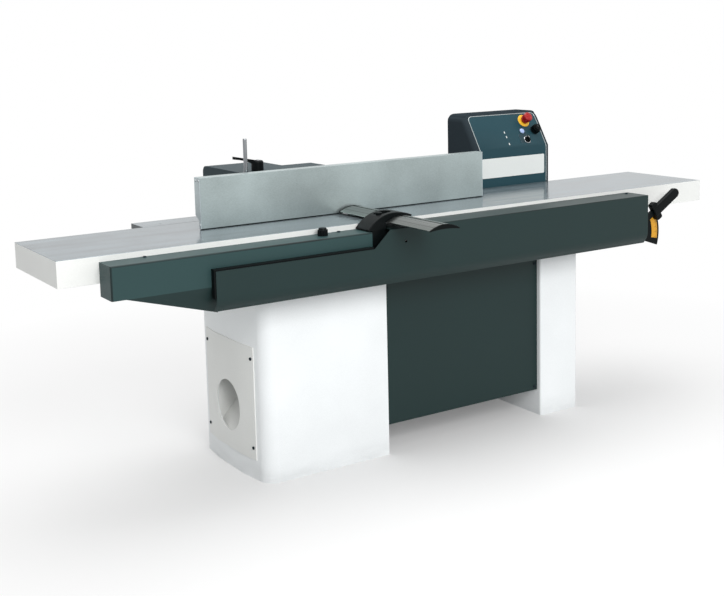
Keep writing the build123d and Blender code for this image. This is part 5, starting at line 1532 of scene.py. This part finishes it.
@dataclass
class ControlBox(SubAssembly):
    """The control box with its leaning panel and controls.

    Places of controls are their X and their way up the leaning face, which begins at the fold.
    Tops are heights above that face. The bead's steps are those round a corner and round its
    section.
    """

    front: float = 238.5
    fold: float = 1025.0
    lean_sin: float = 0.52839
    lean_cos: float = 0.84900
    panel_x: Pair = (537.0, 893.0)
    panel_low: float = 872.0
    panel_up: float = 156.9
    bead_radius: float = 1.6
    bead_corner: float = 20.0
    bead_steps: tuple[int, int] = (10, 12)
    stop: Pair = (822.0, 120.0)
    collar: Outline = (
        (11.4, 0.0), (28.0, 0.0), (28.0, 2.4), (27.0, 3.4), (24.6, 3.6), (24.2, 3.0),
        (22.6, 3.0), (22.2, 3.7), (13.0, 4.0), (11.4, 4.0),
    )
    button: Outline = (
        (0.0, -22.0), (11.0, -22.0), (11.0, 9.0), (16.6, 9.0), (17.2, 9.8), (17.2, 17.0),
        (16.4, 18.0), (15.2, 18.4), (15.2, 20.4), (18.8, 21.2), (20.0, 22.6), (20.0, 37.0),
        (19.4, 39.6), (17.6, 41.6), (14.6, 42.9), (11.0, 43.3), (10.2, 42.7), (9.4, 43.4),
        (5.0, 43.8), (0.0, 44.0),
    )
    push: Pair = (793.0, 73.0)
    push_ring: Outline = (
        (12.5, 0.0), (16.0, 0.0), (16.0, 1.8), (15.0, 2.8), (13.2, 2.8), (12.5, 2.2)
    )
    selector: Pair = (862.0, 73.0)
    selector_ring: Outline = ((9.0, 0.0), (22.5, 0.0), (22.5, 0.15), (21.5, 0.28), (9.0, 0.28))
    selector_top: float = 29.9
    rotary: Pair = (803.0, 31.0)
    rotary_ring: Outline = (
        (13.8, 1.2), (16.5, 1.2), (16.5, 2.4), (15.6, 3.2), (14.4, 3.2), (13.8, 2.6)
    )
    rotary_top: float = 17.4
    marks: Outline = ((698.0, 73.0), (699.5, 51.0), (700.5, 18.0))
    margin: float = 20.0

    def dresses(self) -> list[Dress]:
        """Say how the control box is dressed.

        Returns:
            One dress for each node.
        """
        lean = self.lean_sin / self.lean_cos
        fold = {"front_y": self.front, "front_z": self.fold, "lean": lean}
        return [
            CornerDress("control_housing", BLACK_PAINT, 0.8, **fold),
            Dress("control_panel", PANEL_TEAL, 0.4),
            Dress("bare_plate", PLATE_WHITE, 0.3),
            Dress("push_button", PALE, 1.0, steps=3),
            Dress("selector_knob", BLACK_PLASTIC, 0.5),
            Dress("rotary_switch", BLACK_PLASTIC, 0.5),
            Dress("switch_plate", PLATE_STEEL, 0.4),
        ]

    def on_lean(self, x: float, up: float, lift: float = 0.0) -> Seat:
        """Return a seat on the leaning face.

        Args:
            x: The seat's X.
            up: Its way up the face.
            lift: Its height above the face.

        Returns:
            The seat, facing away from the face.
        """
        y = self.front + up * self.lean_sin - lift * self.lean_cos
        z = self.fold + up * self.lean_cos + lift * self.lean_sin
        return Seat((x, y, z), (0.0, -self.lean_cos, self.lean_sin))

    def bead_path(self) -> bpy.types.Curve:
        """Return the line along the panel's sides and top.

        Returns:
            A curve of straight runs.
        """
        left, right = self.panel_x
        path = [
            (left, self.front, self.panel_low),
            (left, self.front, self.fold),
            self.on_lean(left, self.panel_up).place,
            self.on_lean(right, self.panel_up).place,
            (right, self.front, self.fold),
            (right, self.front, self.panel_low),
        ]
        curve = bpy.data.curves.new("panel_edge", "CURVE")
        curve.dimensions = "3D"
        spline = curve.splines.new("POLY")
        spline.points.add(len(path) - 1)
        for point, place in zip(spline.points, path):
            point.co = (*(value * MM for value in place), 1.0)
        return curve

    def bead(self) -> Mesh:
        """Return the silver bead along the panel's sides and top.

        Returns:
            A round bead swept along the panel's edge, rounded at its corners.
        """
        rule = Rule("panel_bead")
        radius = rule.size("Bead radius", "Float", self.bead_radius * MM)
        corner = rule.size("Corner radius", "Float", self.bead_corner * MM)
        corner_steps, section_steps = self.bead_steps
        links = {
            "Curve": rule.start.outputs["Geometry"],
            "Radius": corner,
            "Count": corner_steps,
            "Limit Radius": True,
        }
        rounded = rule.out("GeometryNodeFilletCurve", links, mode="POLY")
        ring = {"Resolution": section_steps, "Radius": radius}
        section = rule.out("GeometryNodeCurvePrimitiveCircle", ring)
        links = {"Curve": rounded, "Profile Curve": section, "Fill Caps": True}
        swept = rule.out("GeometryNodeCurveToMesh", links)
        smooth = rule.out("GeometryNodeSetShadeSmooth", {"Geometry": swept})
        return rule.bake(self.bead_path(), smooth, TRIM)

    def turned(self) -> list[Piece]:
        """Build the stop button with its collar and the rings of the other controls.

        Returns:
            The turned pieces.
        """
        stop = self.on_lean(*self.stop)
        collar = stop.lathe("stop_collar_turned", self.collar, YELLOW, ring=True)
        button = stop.lathe("stop_button_turned", self.button, RED)
        pieces = [
            as_piece(collar, "machine", "yellow", "stop_collar"),
            as_piece(button, "stop", "red", "stop_button"),
        ]
        rings = (
            ("push_ring", self.push, self.push_ring, PLATE_STEEL),
            ("selector_ring", self.selector, self.selector_ring, PLATE_STEEL),
            ("rotary_ring", self.rotary, self.rotary_ring, CHROME),
        )
        for name, place, outline, finish in rings:
            ring = self.on_lean(*place).lathe(name, outline, finish, ring=True)
            pieces.append(as_piece(ring, "machine", "chrome"))
        return pieces

    def bars(self) -> list[Piece]:
        """Build the pointers of the selector and the rotary switch, and the panel's marks.

        Returns:
            The bars, each one a piece.
        """
        bars = [
            Mark(
                "selector_pointer", self.selector, size=(1.8, 10.0), lift=self.selector_top,
                offset=5.0, height=0.3, finish=CAST_GREY, body="selector",
            ),
            Mark(
                "rotary_pointer", self.rotary, size=(1.6, 9.0), lift=self.rotary_top,
                offset=6.0, height=0.3, body="rotary",
            ),
        ]
        bars += [Mark(f"panel_mark_{number}", place) for number, place in enumerate(self.marks, 1)]
        pieces = []
        for each in bars:
            seat = self.on_lean(*each.place, each.lift)
            mesh = seat.tile(each.name, each.outline(), each.height, each.finish)
            pieces.append(as_piece(mesh, each.body, "white_plate"))
        return pieces

    def trim(self) -> list[Piece]:
        """Build the bead, the turned controls, the pointers and marks, and the rear screws.

        Returns:
            The trim's pieces.
        """
        low, high = box_of("control_housing")
        xs = (low.x + self.margin, high.x - self.margin)
        zs = (low.z + self.margin, high.z - 2.0 * self.margin)
        spots = [(x, high.y, z) for x in xs for z in zs]
        return [
            as_piece(self.bead(), "machine", "chrome"),
            *self.turned(),
            *self.bars(),
            ScrewHeads("housing_screws", spots, Facing.BACK).build(),
        ]


@dataclass(frozen=True)
class Lamp:
    """A soft square lamp aimed at the machine.

    Attributes:
        name: The lamp's name.
        place: Its place in metres.
        power: Its power in watts.
        size: Its side in metres.
    """

    name: str
    place: Point
    power: float
    size: float

    def build(self, aim: Point) -> None:
        """Put the lamp up.

        Args:
            aim: The point that it faces, in metres.
        """
        data = bpy.data.lights.new(self.name, "AREA")
        data.energy = self.power
        data.size = self.size
        lamp = loose_object(self.name, data)
        lamp.location = self.place
        way = Vector(aim) - Vector(self.place)
        lamp.rotation_euler = way.to_track_quat("-Z", "Y").to_euler()


@dataclass
class Studio:
    """The plain floor, the soft light and the camera.

    The floor's half side, the glow's span, the lamps' aim and the camera's reach are in metres.
    Rays that gather light see the floor in its bounce colour, and the others see it go over
    from its own colour to white within the glow's span.
    """

    camera_place: Point = (-2416.7, -3462.7, 1503.3)
    yaw: float = 32.697
    pitch: float = 8.001
    roll: float = -1.321
    lens: float = 57.65
    sensor: float = 36.0
    shift_y: float = -0.138
    clip_end: float = 200.0
    floor_half: float = 40.0
    floor_colour: Colour = (0.90, 0.90, 0.90)
    floor_mottle: float = 0.01
    floor_rough: float = 0.9
    floor_bounce: Colour = (0.77, 0.78, 0.78)
    floor_glow: float = 0.15
    glow_span: Pair = (0.6, 2.8)
    sky: float = 0.57
    aim: Point = (0.0, 0.0, 0.7)
    lamps: tuple[Lamp, ...] = (
        Lamp("key_lamp", (-1.4, -5.2, 3.3), 208.0, 2.6),
        Lamp("fill_lamp", (4.6, -3.6, 2.6), 20.0, 3.0),
        Lamp("top_lamp", (0.2, 0.4, 5.0), 150.0, 4.0),
    )

    def camera(self) -> None:
        """Put the camera where the photograph was taken from."""
        yaw, pitch, roll = (math.radians(angle) for angle in (self.yaw, self.pitch, self.roll))
        ahead = Vector((math.sin(yaw), math.cos(yaw), 0.0))
        right = Vector((math.cos(yaw), -math.sin(yaw), 0.0))
        up = Vector((0.0, 0.0, 1.0))
        view = math.cos(pitch) * ahead - math.sin(pitch) * up
        lifted = math.cos(pitch) * up + math.sin(pitch) * ahead
        side = math.cos(roll) * right + math.sin(roll) * lifted
        crown = -math.sin(roll) * right + math.cos(roll) * lifted
        data = bpy.data.cameras.new("photo_camera")
        data.sensor_fit = "HORIZONTAL"
        data.sensor_width = self.sensor
        data.lens = self.lens
        data.shift_y = self.shift_y
        data.clip_end = self.clip_end
        camera = loose_object("photo_camera", data)
        turn = Matrix((side, crown, -view)).transposed().to_4x4()
        camera.matrix_world = Matrix.Translation(Vector(self.camera_place) * MM) @ turn
        bpy.context.scene.camera = camera

    def floor(self) -> None:
        """Lay a pale floor that runs out into white but keeps the machine's shadow."""
        half = self.floor_half
        corners = [(-half, -half, 0), (half, -half, 0), (half, half, 0), (-half, half, 0)]
        mesh = bpy.data.meshes.new("studio_floor")
        mesh.from_pydata(corners, [], [(0, 1, 2, 3)])
        graph = Graph("studio_floor")
        tone = graph.noise(scale=0.5, detail=2.0)
        body = graph.ramp(tone, self.floor_colour, self.floor_mottle)
        graph.fix({
            "Roughness": self.floor_rough,
            "Specular IOR Level": 0.0,
            "Emission Color": FULL_WHITE,
        })
        seen = graph.seen()
        length = graph.node("ShaderNodeVectorMath", {0: graph.coords}, operation="LENGTH")
        away = length.outputs["Value"]
        glow = graph.between(away, *self.glow_span, self.floor_glow, 1.0)
        shown = graph.mix(glow, body, FULL_BLACK)
        graph.feed(graph.mix(seen, linear(self.floor_bounce), shown), "Base Color")
        graph.feed(graph.math("MULTIPLY", seen, glow), "Emission Strength")
        mesh.materials.append(graph.material)
        loose_object("studio_floor", mesh)

    def world(self) -> None:
        """Surround the scene with soft light that shows white behind the machine."""
        world = bpy.data.worlds.new("studio_world")
        bpy.context.scene.world = world
        world.use_nodes = True
        graph = Shaders(world.node_tree)
        back = graph.tree.nodes["Background"].inputs
        back["Color"].default_value = FULL_WHITE
        level = graph.between(graph.seen(), 0.0, 1.0, self.sky, 1.0)
        graph.tree.links.new(level, back["Strength"])

    def build(self) -> None:
        """Set up the camera, the floor and the light."""
        self.camera()
        self.floor()
        self.world()
        for lamp in self.lamps:
            lamp.build(self.aim)
        bpy.context.scene.view_settings.view_transform = "Standard"


def main() -> None:
    """Build the studio and every sub-assembly."""
    logging.basicConfig(level=logging.INFO, format="%(message)s")
    Studio().build()
    groups: list[SubAssembly] = [
        Tables(),
        CutterBlock(),
        BeltDrive(),
        LiftGear(),
        Base(),
        FrontCovers(),
        Fence(),
        BridgeGuard(),
        ControlBox(),
    ]
    for group in groups:
        for piece in group.build():
            faces = len(piece.data.polygons)
            log.info("%s: %s, %d faces", type(group).__name__, piece.name, faces)


if __name__ == "__main__":
    main()
